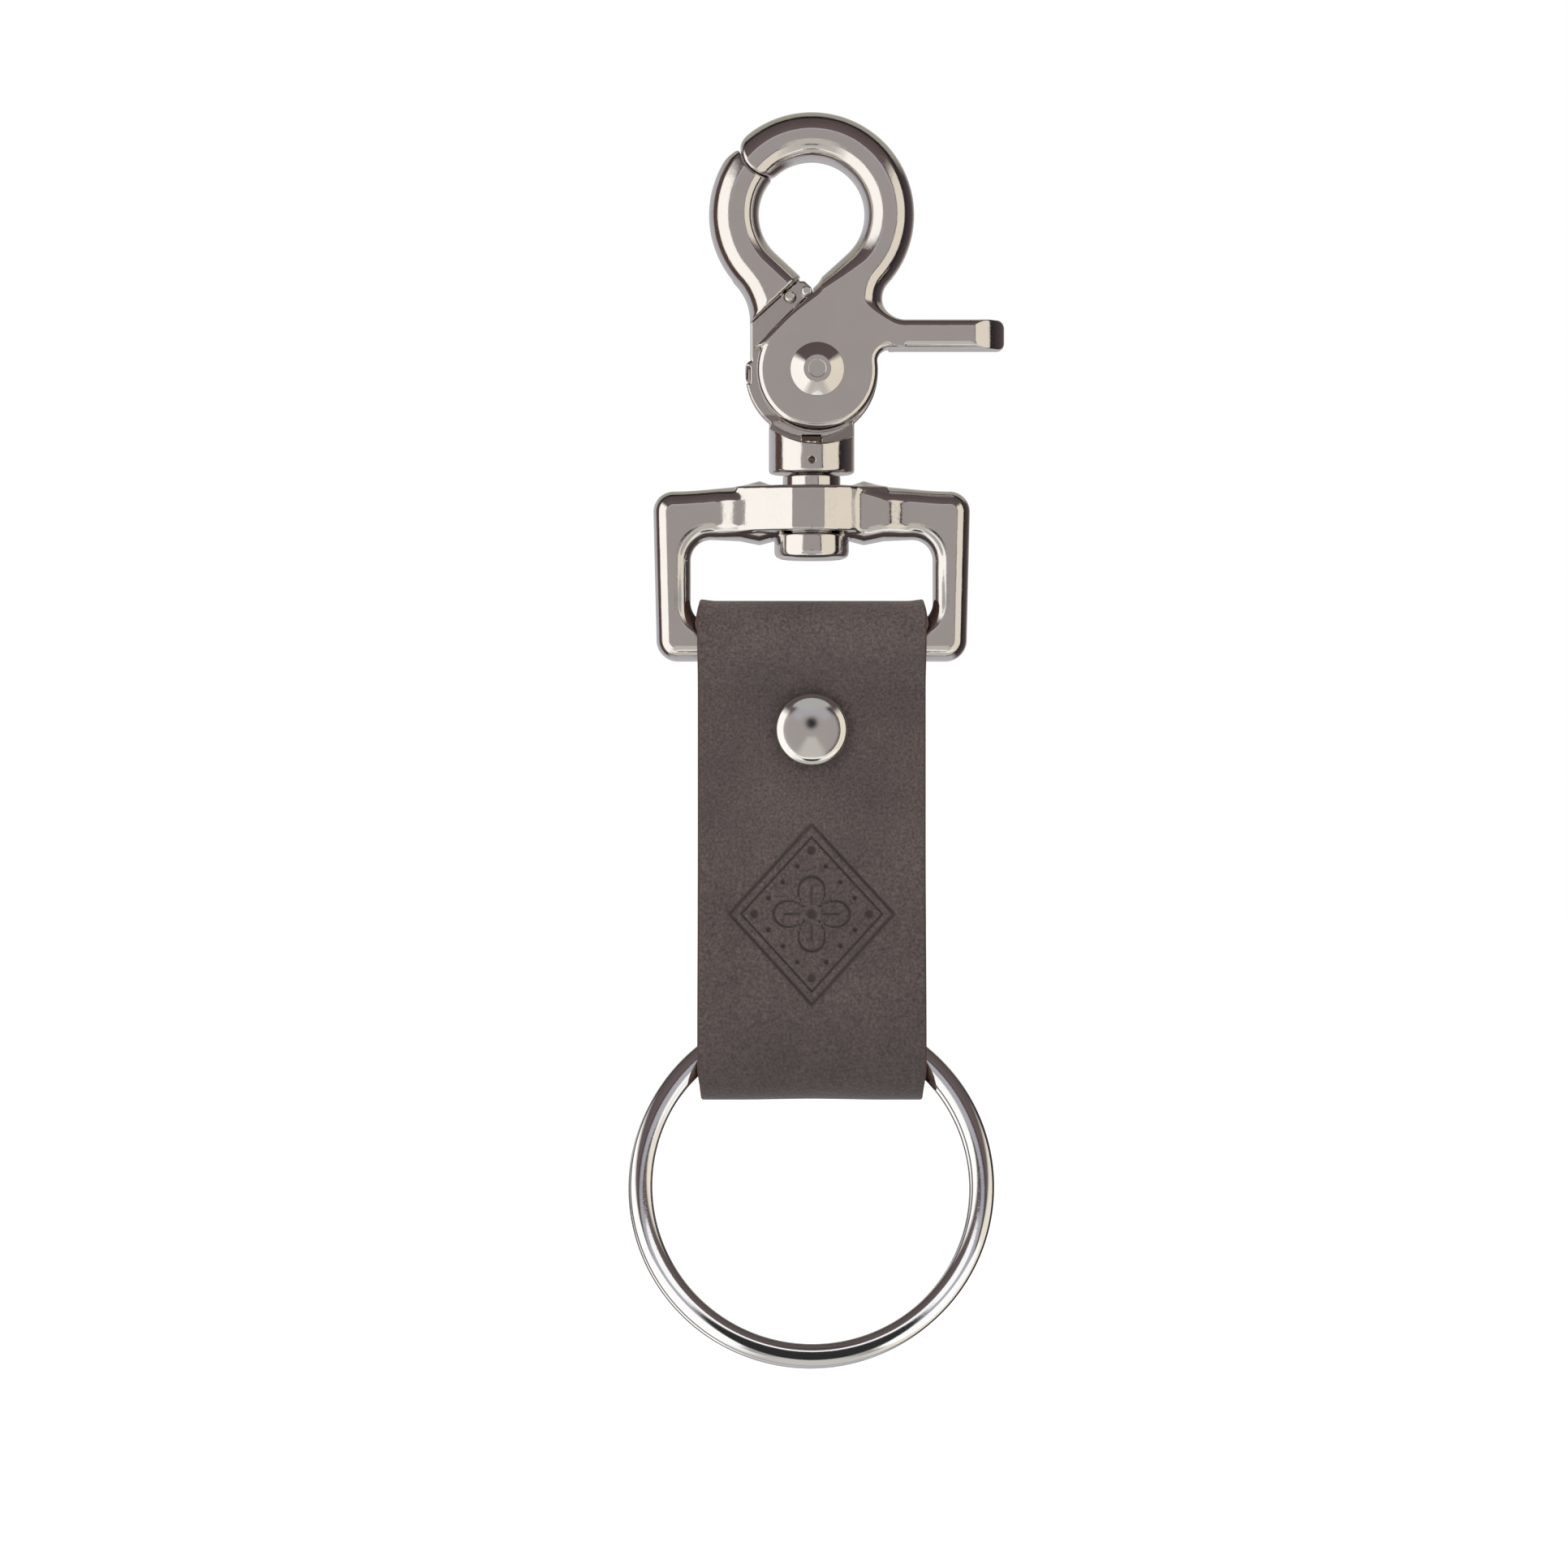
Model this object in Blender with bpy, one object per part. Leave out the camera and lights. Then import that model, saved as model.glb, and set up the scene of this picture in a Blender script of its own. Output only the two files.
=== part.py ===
"""Leather key fob with a swivelling trigger hook above and a split ring below.

The fob hangs upright. The origin is the middle of the hook's eye, X runs to the
right, Y runs away from the viewer and Z runs up. All lengths are in metres.
"""
import math

import bmesh
import bpy
from mathutils import Vector

# Clearances
CLEARANCE = 0.0003
FINE_CLEARANCE = 0.0002

# Hook eye and the two jaws
EYE_OUTER_RADIUS = 0.0113
EYE_BORE_RADIUS = 0.0058
CROTCH_SLOPE = math.radians(47.0)
JAW_DEPTH = 0.0060
EYE_RIM = 0.0020
NOSE_ANGLE = math.radians(122.0)
NOSE_OVERHANG = 0.00055
NOSE_BLUNTING = 0.985
CUP_OVERRUN = math.radians(4.6)
NOTCH_FILLET = 0.0025
SHOULDER_FILLET = 0.0060
SHOULDER_X = -0.00675
SHOULDER_FOOT = 0.0013
SHOULDER_INNER = (-0.00075, -0.00715)
SHELF_OVERLAP = 0.0012
SHELF_TUCK = 0.0002
SHELF_INSET = 0.0001
CROTCH_SETBACK = 0.0008
FACE_INSET = 0.00002

# Pivot, lap plates and thumb lever
PIVOT_X = 0.0006
PIVOT_Z = -0.0172
FRONT_DISC_RADIUS = 0.00665
BACK_DISC_RADIUS = 0.0073
PLATE_RIM = 0.0006
WEB_RIM = 0.0010
SHELF_RIM = 0.0003
LEVER_TOP_Z = -0.0117
LEVER_THICKNESS = 0.0032
LEVER_TIP_X = 0.0212
LEVER_FILLET = 0.0013
LEVER_TIP_FILLET = 0.0008
LEVER_BACK_Y = 0.0024

# Pivot rivet
PIVOT_SHANK_RADIUS = 0.00125
PIVOT_HEAD_RADIUS = 0.0030
PIVOT_HEAD_TOP_RADIUS = 0.00147
PIVOT_HEAD_HEIGHT = 0.00085
PIVOT_HEAD_EDGE = 0.0001
PIVOT_LIP = 0.00025
PIVOT_DISH = 0.00012
PIVOT_TAIL_RADIUS = 0.0026
PIVOT_TAIL_HEIGHT = 0.0006

# Closing spring
SPRING_WIRE = 0.0012
SPRING_COIL_RADIUS = 0.0023
SPRING_PITCH = 0.0015
SPRING_BEND = 0.0009
SPRING_BEND_CUT = 0.3
BODY_LEG_END = (-0.0024, -0.0090)
TRIGGER_LEG_END = (-0.00055, -0.0085)
BODY_LEG_FRONT_Y = -0.0012
TRIGGER_LEG_FRONT_Y = -0.0021

# Collar under the hook and the swivel post
COLLAR_RADIUS = 0.0047
COLLAR_BOTTOM_Z = -0.0285
COLLAR_EDGE = 0.0004
COLLAR_SCOOP_GAP = 0.0015
POST_STEM_RADIUS = 0.0022
POST_STEM_LENGTH = 0.0026
POST_TAIL_RADIUS = 0.0008
POST_TAIL_LENGTH = 0.0011
POST_NECK_RADIUS = 0.00317
POST_NECK_GAP = 0.0014
POST_HEAD_RADIUS = 0.0041
POST_HEAD_HEIGHT = 0.0027
POST_HEAD_EDGE = 0.0010
POST_HEAD_TOP_EDGE = 0.0003

# Swivel loop
BOSS_HEIGHT = 0.0050
BOSS_HALF_WIDTH = 0.0069
BOSS_HALF_DEPTH = 0.0048
BOSS_EDGE = 0.0004
LOOP_HALF_WIDTH_TOP = 0.01745
LOOP_HALF_WIDTH_BOTTOM = 0.0170
LOOP_HEIGHT = 0.0187
LOOP_DEPTH = 0.0040
LOOP_RIM = 0.0014
LOOP_CORNER = 0.0022
WINDOW_CORNER = 0.0020
TOP_BAR = 0.0052
TOP_BAR_SET_DOWN = 0.0005
BOTTOM_BAR = 0.0041
EAR_X = 0.0058
EAR_RISE = 0.0011
EAR_DROP = 0.0006
EAR_REACH = 0.0034
EAR_DEPTH = 0.0032
EAR_FOOT_SHARE = 0.4

# Leather strap
STRAP_WIDTH = 0.0250
STRAP_LENGTH = 0.0551
LEATHER = 0.0017
LAYER_GAP = 0.0003
STRAP_SIDE_ROOM = 0.0008
STACK_Y = 0.0010
FOLD_GAP_RADIUS = 0.0034
UPPER_TAPER = 0.0050
LOWER_TAPER = 0.0240
OVERLAP_BELOW = 0.0064

# Double cap rivet
RIVET_DROP = 0.0140
CAP_RADIUS = 0.00395
CAP_HEIGHT = 0.0017
CAP_WALL = 0.00035
CAP_ROUNDNESS = 0.55
SOCKET_TUBE_RADIUS = 0.00145
SOCKET_FLANGE_RADIUS = 0.0031
RIVET_POST_RADIUS = 0.00075

# Split ring
RING_OUTER_RADIUS = 0.0201
RING_WIRE_WIDTH = 0.0025
RING_WIRE_THICKNESS = 0.00135
RING_TURN_GAP = 0.0002
RING_EDGE = 0.00035
RING_TILT = math.radians(15.0)
RING_CROSSING = math.radians(32.0)

# Facets
RIM_STEPS = 6
ARM_STEPS = 26
TURNED_STEPS = 40
SMALL_TURNED_STEPS = 28
RING_STEPS = 150

# Sizes worked out from the driving ones
HALF_DEPTH = JAW_DEPTH / 2
LAP_FACE = CLEARANCE / 2
ARM_RADIUS = (EYE_OUTER_RADIUS + EYE_BORE_RADIUS) / 2
NOSE_RADIUS = (EYE_OUTER_RADIUS - EYE_BORE_RADIUS) / 2 + NOSE_OVERHANG
NOTCH_Z = LEVER_TOP_Z + NOTCH_FILLET
NOTCH_X = math.sqrt((EYE_OUTER_RADIUS + NOTCH_FILLET) ** 2 - NOTCH_Z ** 2)
NECK_X = SHOULDER_X - SHOULDER_FILLET
NECK_Z = -math.sqrt((EYE_OUTER_RADIUS + SHOULDER_FILLET) ** 2 - NECK_X ** 2)
CROTCH_Z = -EYE_BORE_RADIUS / math.sin(CROTCH_SLOPE)
DISC_SHIFT = abs(PIVOT_X)
SWEEP_RADIUS = max(FRONT_DISC_RADIUS, BACK_DISC_RADIUS + DISC_SHIFT) + CLEARANCE
COLLAR_TOP_Z = PIVOT_Z - math.sqrt(BACK_DISC_RADIUS ** 2 - COLLAR_RADIUS ** 2) + SHELF_INSET
SPRING_POCKET_RADIUS = SPRING_COIL_RADIUS + SPRING_WIRE / 2 + CLEARANCE
POST_TOP_Z = COLLAR_BOTTOM_Z + POST_STEM_LENGTH
NECK_TOP_Z = COLLAR_BOTTOM_Z - FINE_CLEARANCE
BOSS_TOP_Z = COLLAR_BOTTOM_Z - POST_NECK_GAP
BOSS_BOTTOM_Z = BOSS_TOP_Z - BOSS_HEIGHT
LOOP_TOP_Z = BOSS_TOP_Z - TOP_BAR_SET_DOWN
LOOP_BOTTOM_Z = LOOP_TOP_Z - LOOP_HEIGHT
WINDOW_TOP_Z = LOOP_TOP_Z - TOP_BAR
WINDOW_BOTTOM_Z = LOOP_BOTTOM_Z + BOTTOM_BAR
WINDOW_HALF_WIDTH = STRAP_WIDTH / 2 + STRAP_SIDE_ROOM
BAR_Z = LOOP_BOTTOM_Z + BOTTOM_BAR / 2
CORNER_REST = max(WINDOW_CORNER - STRAP_SIDE_ROOM, 0.0)
CORNER_RISE = WINDOW_CORNER - math.sqrt(WINDOW_CORNER ** 2 - CORNER_REST ** 2)
BAR_FOLD_RADIUS = max(BOTTOM_BAR / 2 + CORNER_RISE, LOOP_DEPTH / 2) + CLEARANCE + LEATHER / 2
STRAP_TOP_Z = BAR_Z + BAR_FOLD_RADIUS + LEATHER / 2
STRAP_BOTTOM_Z = STRAP_TOP_Z - STRAP_LENGTH
LAYER_PITCH = LEATHER + LAYER_GAP
RIVET_Z = STRAP_TOP_Z - RIVET_DROP
STACK_FRONT_Y = STACK_Y - LAYER_PITCH - LEATHER / 2
STACK_BACK_Y = STACK_Y + LAYER_PITCH + LEATHER / 2
RING_FOLD_RADIUS = FOLD_GAP_RADIUS + LEATHER / 2
RING_FOLD_Z = STRAP_BOTTOM_Z + LEATHER + FOLD_GAP_RADIUS
RING_PITCH = RING_WIRE_THICKNESS + RING_TURN_GAP
RING_HALF_HEIGHT = (RING_PITCH + RING_WIRE_THICKNESS) / 2
RING_INNER_RADIUS = RING_OUTER_RADIUS - RING_WIRE_WIDTH
RING_EDGE_DROP = math.sqrt(RING_INNER_RADIUS ** 2 - (STRAP_WIDTH / 2) ** 2)
RING_ARC_HALF = (RING_OUTER_RADIUS - RING_EDGE_DROP) / 2
RING_HANG = RING_EDGE_DROP + RING_ARC_HALF

FRONT = -1.0
BACK = 1.0


def clear_scene():
    """Remove every object of the open scene."""
    for item in list(bpy.data.objects):
        bpy.data.objects.remove(item, do_unlink=True)


def make_material(name, colour, roughness, metallic):
    """A Principled material of one colour."""
    material = bpy.data.materials.new(name)
    material.use_nodes = True
    shader = material.node_tree.nodes["Principled BSDF"]
    shader.inputs["Base Color"].default_value = (*colour, 1.0)
    shader.inputs["Roughness"].default_value = roughness
    shader.inputs["Metallic"].default_value = metallic
    return material


def make_axis(name, location):
    """An empty on a joint's axis, which carries the pieces that turn there."""
    axis = bpy.data.objects.new(name, None)
    axis.location = location
    axis.empty_display_size = 0.004
    bpy.context.collection.objects.link(axis)
    bpy.context.view_layer.update()
    return axis


def make_piece(name, bm, material=None, axis=None):
    """Link a mesh as one object, with its faces outwards and its curves smooth."""
    bmesh.ops.recalc_face_normals(bm, faces=bm.faces)
    mesh = bpy.data.meshes.new(name)
    bm.to_mesh(mesh)
    bm.free()
    mesh.shade_smooth()
    mesh.set_sharp_from_angle(angle=math.radians(35.0))
    piece = bpy.data.objects.new(name, mesh)
    bpy.context.collection.objects.link(piece)
    if material is not None:
        mesh.materials.append(material)
    if axis is not None:
        piece.parent = axis
        piece.matrix_parent_inverse = axis.matrix_world.inverted()
    return piece


def combine(piece, tool, operation):
    """Join or cut a piece with a tool object, which itself is left out."""
    tool.hide_render = True
    tool.display_type = "WIRE"
    step = piece.modifiers.new(tool.name, "BOOLEAN")
    step.operation = operation
    step.solver = "EXACT"
    step.object = tool


def soften(piece, width, segments=2, angle=50.0):
    """Round the sharp edges of a piece."""
    step = piece.modifiers.new("edge_rounding", "BEVEL")
    step.width = width
    step.segments = segments
    step.limit_method = "ANGLE"
    step.angle_limit = math.radians(angle)


def at(point, depth=0.0):
    """A place from its X and Z, at a depth along Y."""
    return Vector((point[0], depth, point[1]))


def polar(centre, radius, angle):
    """The X and Z of a point on a circle, with the angle from +X towards +Z."""
    return (centre[0] + radius * math.cos(angle), centre[1] + radius * math.sin(angle))


def arc(centre, radius, start, end, steps):
    """Points along an arc, both ends included."""
    return [polar(centre, radius, start + (end - start) * i / steps) for i in range(steps + 1)]


def bend(start, control, end, steps):
    """Points along a parabola that leaves start and reaches end towards control."""
    points = []
    for i in range(steps + 1):
        t = i / steps
        weights = ((1 - t) ** 2, 2 * t * (1 - t), t ** 2)
        points.append(tuple(sum(w * p[k] for w, p in zip(weights, (start, control, end))) for k in (0, 1)))
    return points


def smooth(start, end, share):
    """A value that goes from start to end with no slope at either."""
    share = min(max(share, 0.0), 1.0)
    return start + (end - start) * share * share * (3.0 - 2.0 * share)


def bar_section(outer, inner, half_depth, rim):
    """One cut through a bar from inner to outer, flat in front and behind, round at its sides."""
    middle = (outer + inner) / 2
    across = outer - inner
    half_width = across.length / 2
    across.normalize()
    rim = min(rim, half_width * 0.98)
    points = []
    for side in (1.0, -1.0):
        for i in range(RIM_STEPS + 1):
            turn = math.pi * (i / RIM_STEPS - 0.5)
            reach = side * (half_width - rim + rim * math.cos(turn))
            points.append(middle + across * reach + Vector((0.0, side * half_depth * math.sin(turn), 0.0)))
    return points


def loft(loops, closed=False):
    """Skin a row of loops that have as many points each, with end caps unless it closes."""
    bm = bmesh.new()
    rows = [[bm.verts.new(point) for point in loop] for loop in loops]
    count = len(rows[0])
    last = len(rows) if closed else len(rows) - 1
    for r in range(last):
        row, following = rows[r], rows[(r + 1) % len(rows)]
        for i in range(count):
            j = (i + 1) % count
            bm.faces.new((row[i], row[j], following[j], following[i]))
    if not closed:
        bm.faces.new(rows[0])
        bm.faces.new(rows[-1])
    return bm


def slab(outline, front, back):
    """A plate of one outline in X and Z, from one depth to another."""
    return loft([[at(p, front) for p in outline], [at(p, back) for p in outline]])


def turned(profile, centre, axis, steps=TURNED_STEPS):
    """Turn a profile of (radius, height) pairs, from pole to pole, about Y or Z."""
    bm = bmesh.new()
    rows = []
    for radius, height in profile:
        count = steps if radius > 0.0 else 1
        row = []
        for i in range(count):
            angle = 2 * math.pi * i / steps
            across, along = radius * math.cos(angle), radius * math.sin(angle)
            if axis == "Z":
                place = Vector((centre[0] + across, along, centre[1] + height))
            else:
                place = Vector((centre[0] + across, height, centre[1] + along))
            row.append(bm.verts.new(place))
        rows.append(row)
    for row, following in zip(rows, rows[1:]):
        for i in range(steps):
            j = (i + 1) % steps
            corners = [row[i % len(row)], row[j % len(row)]]
            corners += [following[j % len(following)], following[i % len(following)]]
            bm.faces.new(list(dict.fromkeys(corners)))
    return bm


def rod(name, radius, start, end, centre, axis="Y", steps=TURNED_STEPS):
    """A plain cylinder, used as a tool."""
    profile = [(0.0, start), (radius, start), (radius, end), (0.0, end)]
    return make_piece(name, turned(profile, centre, axis, steps))


def block(name, low, high):
    """A plain box, used as a tool."""
    outline = [(low[0], low[2]), (high[0], low[2]), (high[0], high[2]), (low[0], high[2])]
    return make_piece(name, slab(outline, low[1], high[1]))


def channel(name, start, end, width, front, back):
    """A straight round-ended slot between two places, used as a tool."""
    run = Vector((end[0] - start[0], end[1] - start[1]))
    along = math.atan2(run.y, run.x)
    quarter = math.pi / 2
    outline = arc(end, width / 2, along - quarter, along + quarter, 8)
    outline += arc(start, width / 2, along + quarter, along + 3 * quarter, 8)
    return make_piece(name, slab(outline, front, back))


def crotch_line(share, side):
    """A point on the straight side of the eye's bore, from its round part to the crotch."""
    touch = polar((0.0, 0.0), EYE_BORE_RADIUS, -CROTCH_SLOPE)
    return (side * touch[0] * (1 - share), touch[1] + (CROTCH_Z - touch[1]) * share)


def nose_meeting(radius):
    """The angle past the nose's middle at which its round end meets one side of the arm."""
    return math.acos((radius ** 2 + ARM_RADIUS ** 2 - NOSE_RADIUS ** 2) / (2 * radius * ARM_RADIUS))


def trigger_arm():
    """The round-edged arm of the trigger, from its nose over the top to the web."""
    loops = []
    nose_steps = 6
    last = math.asin(NOSE_RADIUS / ARM_RADIUS) * NOSE_BLUNTING
    first = nose_meeting(EYE_OUTER_RADIUS)
    for i in range(nose_steps):
        turn = first + (last - first) * math.cos(math.pi / 2 * i / nose_steps)
        angle = NOSE_ANGLE + turn
        reach = ARM_RADIUS * math.cos(turn)
        spread = math.sqrt(max(NOSE_RADIUS ** 2 - (ARM_RADIUS * math.sin(turn)) ** 2, 0.0))
        outer = at(polar((0.0, 0.0), min(reach + spread, EYE_OUTER_RADIUS), angle))
        inner = at(polar((0.0, 0.0), max(reach - spread, EYE_BORE_RADIUS), angle))
        loops.append(bar_section(outer, inner, HALF_DEPTH, EYE_RIM))
    start, end = NOSE_ANGLE + first, math.atan2(NOTCH_Z, NOTCH_X)
    for i in range(ARM_STEPS + 1):
        angle = start + (end - start) * i / ARM_STEPS
        outer = at(polar((0.0, 0.0), EYE_OUTER_RADIUS, angle))
        inner = at(polar((0.0, 0.0), EYE_BORE_RADIUS, angle))
        loops.append(bar_section(outer, inner, HALF_DEPTH, EYE_RIM))
    side = arc((NOTCH_X, NOTCH_Z), NOTCH_FILLET + FACE_INSET, end + math.pi, math.pi, 6)
    for i, outer in enumerate(side[1:], start=1):
        share = i / 6
        inner = at(crotch_line(share, 1.0)) + Vector((FINE_CLEARANCE, 0.0, 0.0))
        loops.append(bar_section(at(outer), inner, HALF_DEPTH, smooth(EYE_RIM, WEB_RIM, share)))
    return loft(loops)


def trigger_outline():
    """The flat part of the trigger: web, lap disc and thumb lever as one outline."""
    pivot = (PIVOT_X, PIVOT_Z)
    crotch = (FINE_CLEARANCE, CROTCH_Z - FINE_CLEARANCE)
    reach = math.hypot(crotch[0] - pivot[0], crotch[1] - pivot[1])
    toward = math.atan2(crotch[1] - pivot[1], crotch[0] - pivot[0])
    left = toward + math.acos(FRONT_DISC_RADIUS / reach)
    lever_bottom = LEVER_TOP_Z - LEVER_THICKNESS
    rise = lever_bottom - LEVER_FILLET - PIVOT_Z
    under = math.asin(max(min(rise / (FRONT_DISC_RADIUS + LEVER_FILLET), 0.9), -0.9))
    under_centre = polar(pivot, FRONT_DISC_RADIUS + LEVER_FILLET, under)
    quarter = math.pi / 2
    outline = [crotch]
    outline += arc(pivot, FRONT_DISC_RADIUS, left, under + 2 * math.pi, 30)
    outline += arc(under_centre, LEVER_FILLET, under + math.pi, quarter, 5)[1:]
    tip = (LEVER_TIP_X - LEVER_TIP_FILLET, lever_bottom + LEVER_TIP_FILLET)
    outline += arc(tip, LEVER_TIP_FILLET, -quarter, 0.0, 3)
    tip = (LEVER_TIP_X - LEVER_TIP_FILLET, LEVER_TOP_Z - LEVER_TIP_FILLET)
    outline += arc(tip, LEVER_TIP_FILLET, 0.0, quarter, 3)
    waist = NOTCH_X - NOTCH_FILLET
    outline += arc((NOTCH_X, NOTCH_Z), NOTCH_FILLET, 3 * quarter, 2 * quarter, 6)
    outline.append((waist - PLATE_RIM, NOTCH_Z + 2 * PLATE_RIM))
    outline.append((waist / 2 + PLATE_RIM, CROTCH_Z + PLATE_RIM))
    return outline


def spring_levels():
    """Depths of the spring's two legs, behind and in front, and its wound angle."""
    pivot = (PIVOT_X, PIVOT_Z)
    angles = []
    for end, side in ((BODY_LEG_END, 1.0), (TRIGGER_LEG_END, -1.0)):
        run = (end[0] - pivot[0], end[1] - pivot[1])
        angles.append(math.atan2(run[1], run[0]) + side * math.acos(SPRING_COIL_RADIUS / math.hypot(*run)))
    angles[1] += 4 * math.pi
    half = SPRING_PITCH * (angles[1] - angles[0]) / (4 * math.pi)
    return half, angles


def spring_route():
    """The middle line of the spring wire, from the body's bent end to the trigger's."""
    half, (start, end) = spring_levels()
    pivot = (PIVOT_X, PIVOT_Z)
    route = [at(BODY_LEG_END, BODY_LEG_FRONT_Y), at(BODY_LEG_END, half - SPRING_BEND)]
    cut = SPRING_BEND * SPRING_BEND_CUT
    route.append(at(BODY_LEG_END, half - cut))
    first = polar(pivot, SPRING_COIL_RADIUS, start)
    lean = Vector((first[0] - BODY_LEG_END[0], 0.0, first[1] - BODY_LEG_END[1])).normalized()
    route[-1] += lean * cut
    route.append(at(BODY_LEG_END, half) + lean * SPRING_BEND)
    steps = 30
    for i in range(steps + 1):
        share = i / steps
        place = polar(pivot, SPRING_COIL_RADIUS, start + (end - start) * share)
        route.append(at(place, half - 2 * half * share))
    last = polar(pivot, SPRING_COIL_RADIUS, end)
    lean = Vector((last[0] - TRIGGER_LEG_END[0], 0.0, last[1] - TRIGGER_LEG_END[1])).normalized()
    route.append(at(TRIGGER_LEG_END, -half) + lean * SPRING_BEND)
    route.append(at(TRIGGER_LEG_END, -half - cut) + lean * cut)
    route.append(at(TRIGGER_LEG_END, min(-half - SPRING_BEND, TRIGGER_LEG_FRONT_Y)))
    return route


def lap_hollow(side, leg_end, notch_back):
    """One tool for a lap plate's spring pocket, leg channel, leg notch and rivet hole."""
    half, angles = spring_levels()
    deep = half + SPRING_WIRE / 2 + CLEARANCE
    near, far = (LAP_FACE - CLEARANCE, deep) if side == BACK else (-deep, CLEARANCE - LAP_FACE)
    name = "back" if side == BACK else "front"
    pocket = rod(name + "_pocket_tool", SPRING_POCKET_RADIUS, near, far, (PIVOT_X, PIVOT_Z))
    touch = polar((PIVOT_X, PIVOT_Z), SPRING_COIL_RADIUS, angles[0] if side == BACK else angles[1])
    width = SPRING_WIRE + 2 * CLEARANCE
    combine(pocket, channel(name + "_leg_tool", touch, leg_end, width, near, far), "UNION")
    notch = rod(name + "_notch_tool", width / 2, -JAW_DEPTH, notch_back, leg_end, steps=16)
    combine(pocket, notch, "UNION")
    bore = PIVOT_SHANK_RADIUS + CLEARANCE
    hole = rod(name + "_hole_tool", bore, -JAW_DEPTH, JAW_DEPTH, (PIVOT_X, PIVOT_Z), steps=SMALL_TURNED_STEPS)
    combine(pocket, hole, "UNION")
    return pocket


def make_trigger(material, axis):
    """The sprung front casting: its arm, web, lap disc and thumb lever."""
    plate = slab(trigger_outline(), -HALF_DEPTH - FACE_INSET, LEVER_BACK_Y)
    piece = make_piece("trigger_jaw", plate, material, axis)
    soften(piece, PLATE_RIM)
    combine(piece, make_piece("trigger_arm_tool", trigger_arm()), "UNION")
    pivot = (PIVOT_X, PIVOT_Z)
    combine(piece, rod("lap_clearance_tool", SWEEP_RADIUS, -LAP_FACE, JAW_DEPTH, pivot), "DIFFERENCE")
    low = (-EYE_OUTER_RADIUS, -LAP_FACE, PIVOT_Z)
    high = (CLEARANCE, JAW_DEPTH, CROTCH_Z + 2 * FINE_CLEARANCE)
    combine(piece, block("crotch_clearance_tool", low, high), "DIFFERENCE")
    combine(piece, lap_hollow(FRONT, TRIGGER_LEG_END, 0.0), "DIFFERENCE")
    return piece


def body_arm():
    """The round-edged arm of the body, from the cupped tip down to its shoulder."""
    loops = []
    start, end, steps = NOSE_ANGLE + CUP_OVERRUN, 2 * math.pi + math.atan2(NECK_Z, NECK_X), 16
    for i in range(steps + 1):
        angle = start + (end - start) * i / steps
        outer = at(polar((0.0, 0.0), EYE_OUTER_RADIUS, angle))
        inner = at(polar((0.0, 0.0), EYE_BORE_RADIUS, angle))
        loops.append(bar_section(outer, inner, HALF_DEPTH, EYE_RIM))
    side = arc((NECK_X, NECK_Z), SHOULDER_FILLET, end - math.pi, 0.0, 6)
    throat = bend(polar((0.0, 0.0), EYE_BORE_RADIUS, end), crotch_line(0.0, -1.0), SHOULDER_INNER, 6)
    for outer, inner in zip(side[1:], throat[1:]):
        loops.append(bar_section(at(outer), at(inner), HALF_DEPTH, EYE_RIM))
    return loft(loops)


def body_outline():
    """The back half of the lap: shelf under the shoulder, disc and ledge as one outline."""
    centre = (0.0, PIVOT_Z)
    outline = [(SHOULDER_X + SHELF_INSET, NECK_Z + SHELF_OVERLAP)]
    outline.append((SHOULDER_X + SHELF_INSET, PIVOT_Z + SHOULDER_FOOT))
    meeting = math.pi - math.asin(min(SHOULDER_FOOT / BACK_DISC_RADIUS, 1.0))
    outline += arc(centre, BACK_DISC_RADIUS, meeting, 2.5 * math.pi, 34)
    outline.append((0.0, CROTCH_Z - CROTCH_SETBACK))
    outline.append((SHOULDER_INNER[0] - SHELF_TUCK, SHOULDER_INNER[1] - SHELF_TUCK))
    outline.append((SHOULDER_INNER[0] - SHELF_OVERLAP, SHOULDER_INNER[1] + SHELF_INSET))
    return outline


def make_body(material):
    """The fixed back casting: left arm, lap shelf and disc, ledge and collar."""
    piece = make_piece("body_jaw", slab(body_outline(), LAP_FACE, HALF_DEPTH - FACE_INSET), material)
    soften(piece, SHELF_RIM, segments=1)
    combine(piece, make_piece("body_arm_tool", body_arm()), "UNION")
    radius, edge = COLLAR_RADIUS, COLLAR_EDGE
    profile = [(0.0, COLLAR_BOTTOM_Z), (radius - edge, COLLAR_BOTTOM_Z)]
    profile += [(radius, COLLAR_BOTTOM_Z + edge), (radius, COLLAR_TOP_Z), (0.0, COLLAR_TOP_Z)]
    combine(piece, make_piece("collar_tool", turned(profile, (0.0, 0.0), "Z")), "UNION")
    low, top = COLLAR_BOTTOM_Z - CLEARANCE, POST_TOP_Z + CLEARANCE
    tail = top + POST_TAIL_LENGTH
    wide, narrow = POST_STEM_RADIUS + FINE_CLEARANCE, POST_TAIL_RADIUS + FINE_CLEARANCE
    profile = [(0.0, low), (wide, low), (wide, top), (narrow, top), (narrow, tail), (0.0, tail)]
    tool = turned(profile, (0.0, 0.0), "Z", SMALL_TURNED_STEPS)
    combine(piece, make_piece("post_bore_tool", tool), "DIFFERENCE")
    pivot = (PIVOT_X, PIVOT_Z)
    front = rod("disc_clearance_tool", FRONT_DISC_RADIUS + COLLAR_SCOOP_GAP, -2 * JAW_DEPTH, LAP_FACE, pivot)
    combine(piece, front, "DIFFERENCE")
    nose = polar((0.0, 0.0), ARM_RADIUS, NOSE_ANGLE)
    cup = rod("nose_cup_tool", NOSE_RADIUS + FINE_CLEARANCE, -JAW_DEPTH, JAW_DEPTH, nose)
    combine(piece, cup, "DIFFERENCE")
    combine(piece, lap_hollow(BACK, BODY_LEG_END, LAP_FACE), "DIFFERENCE")
    return piece


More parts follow.
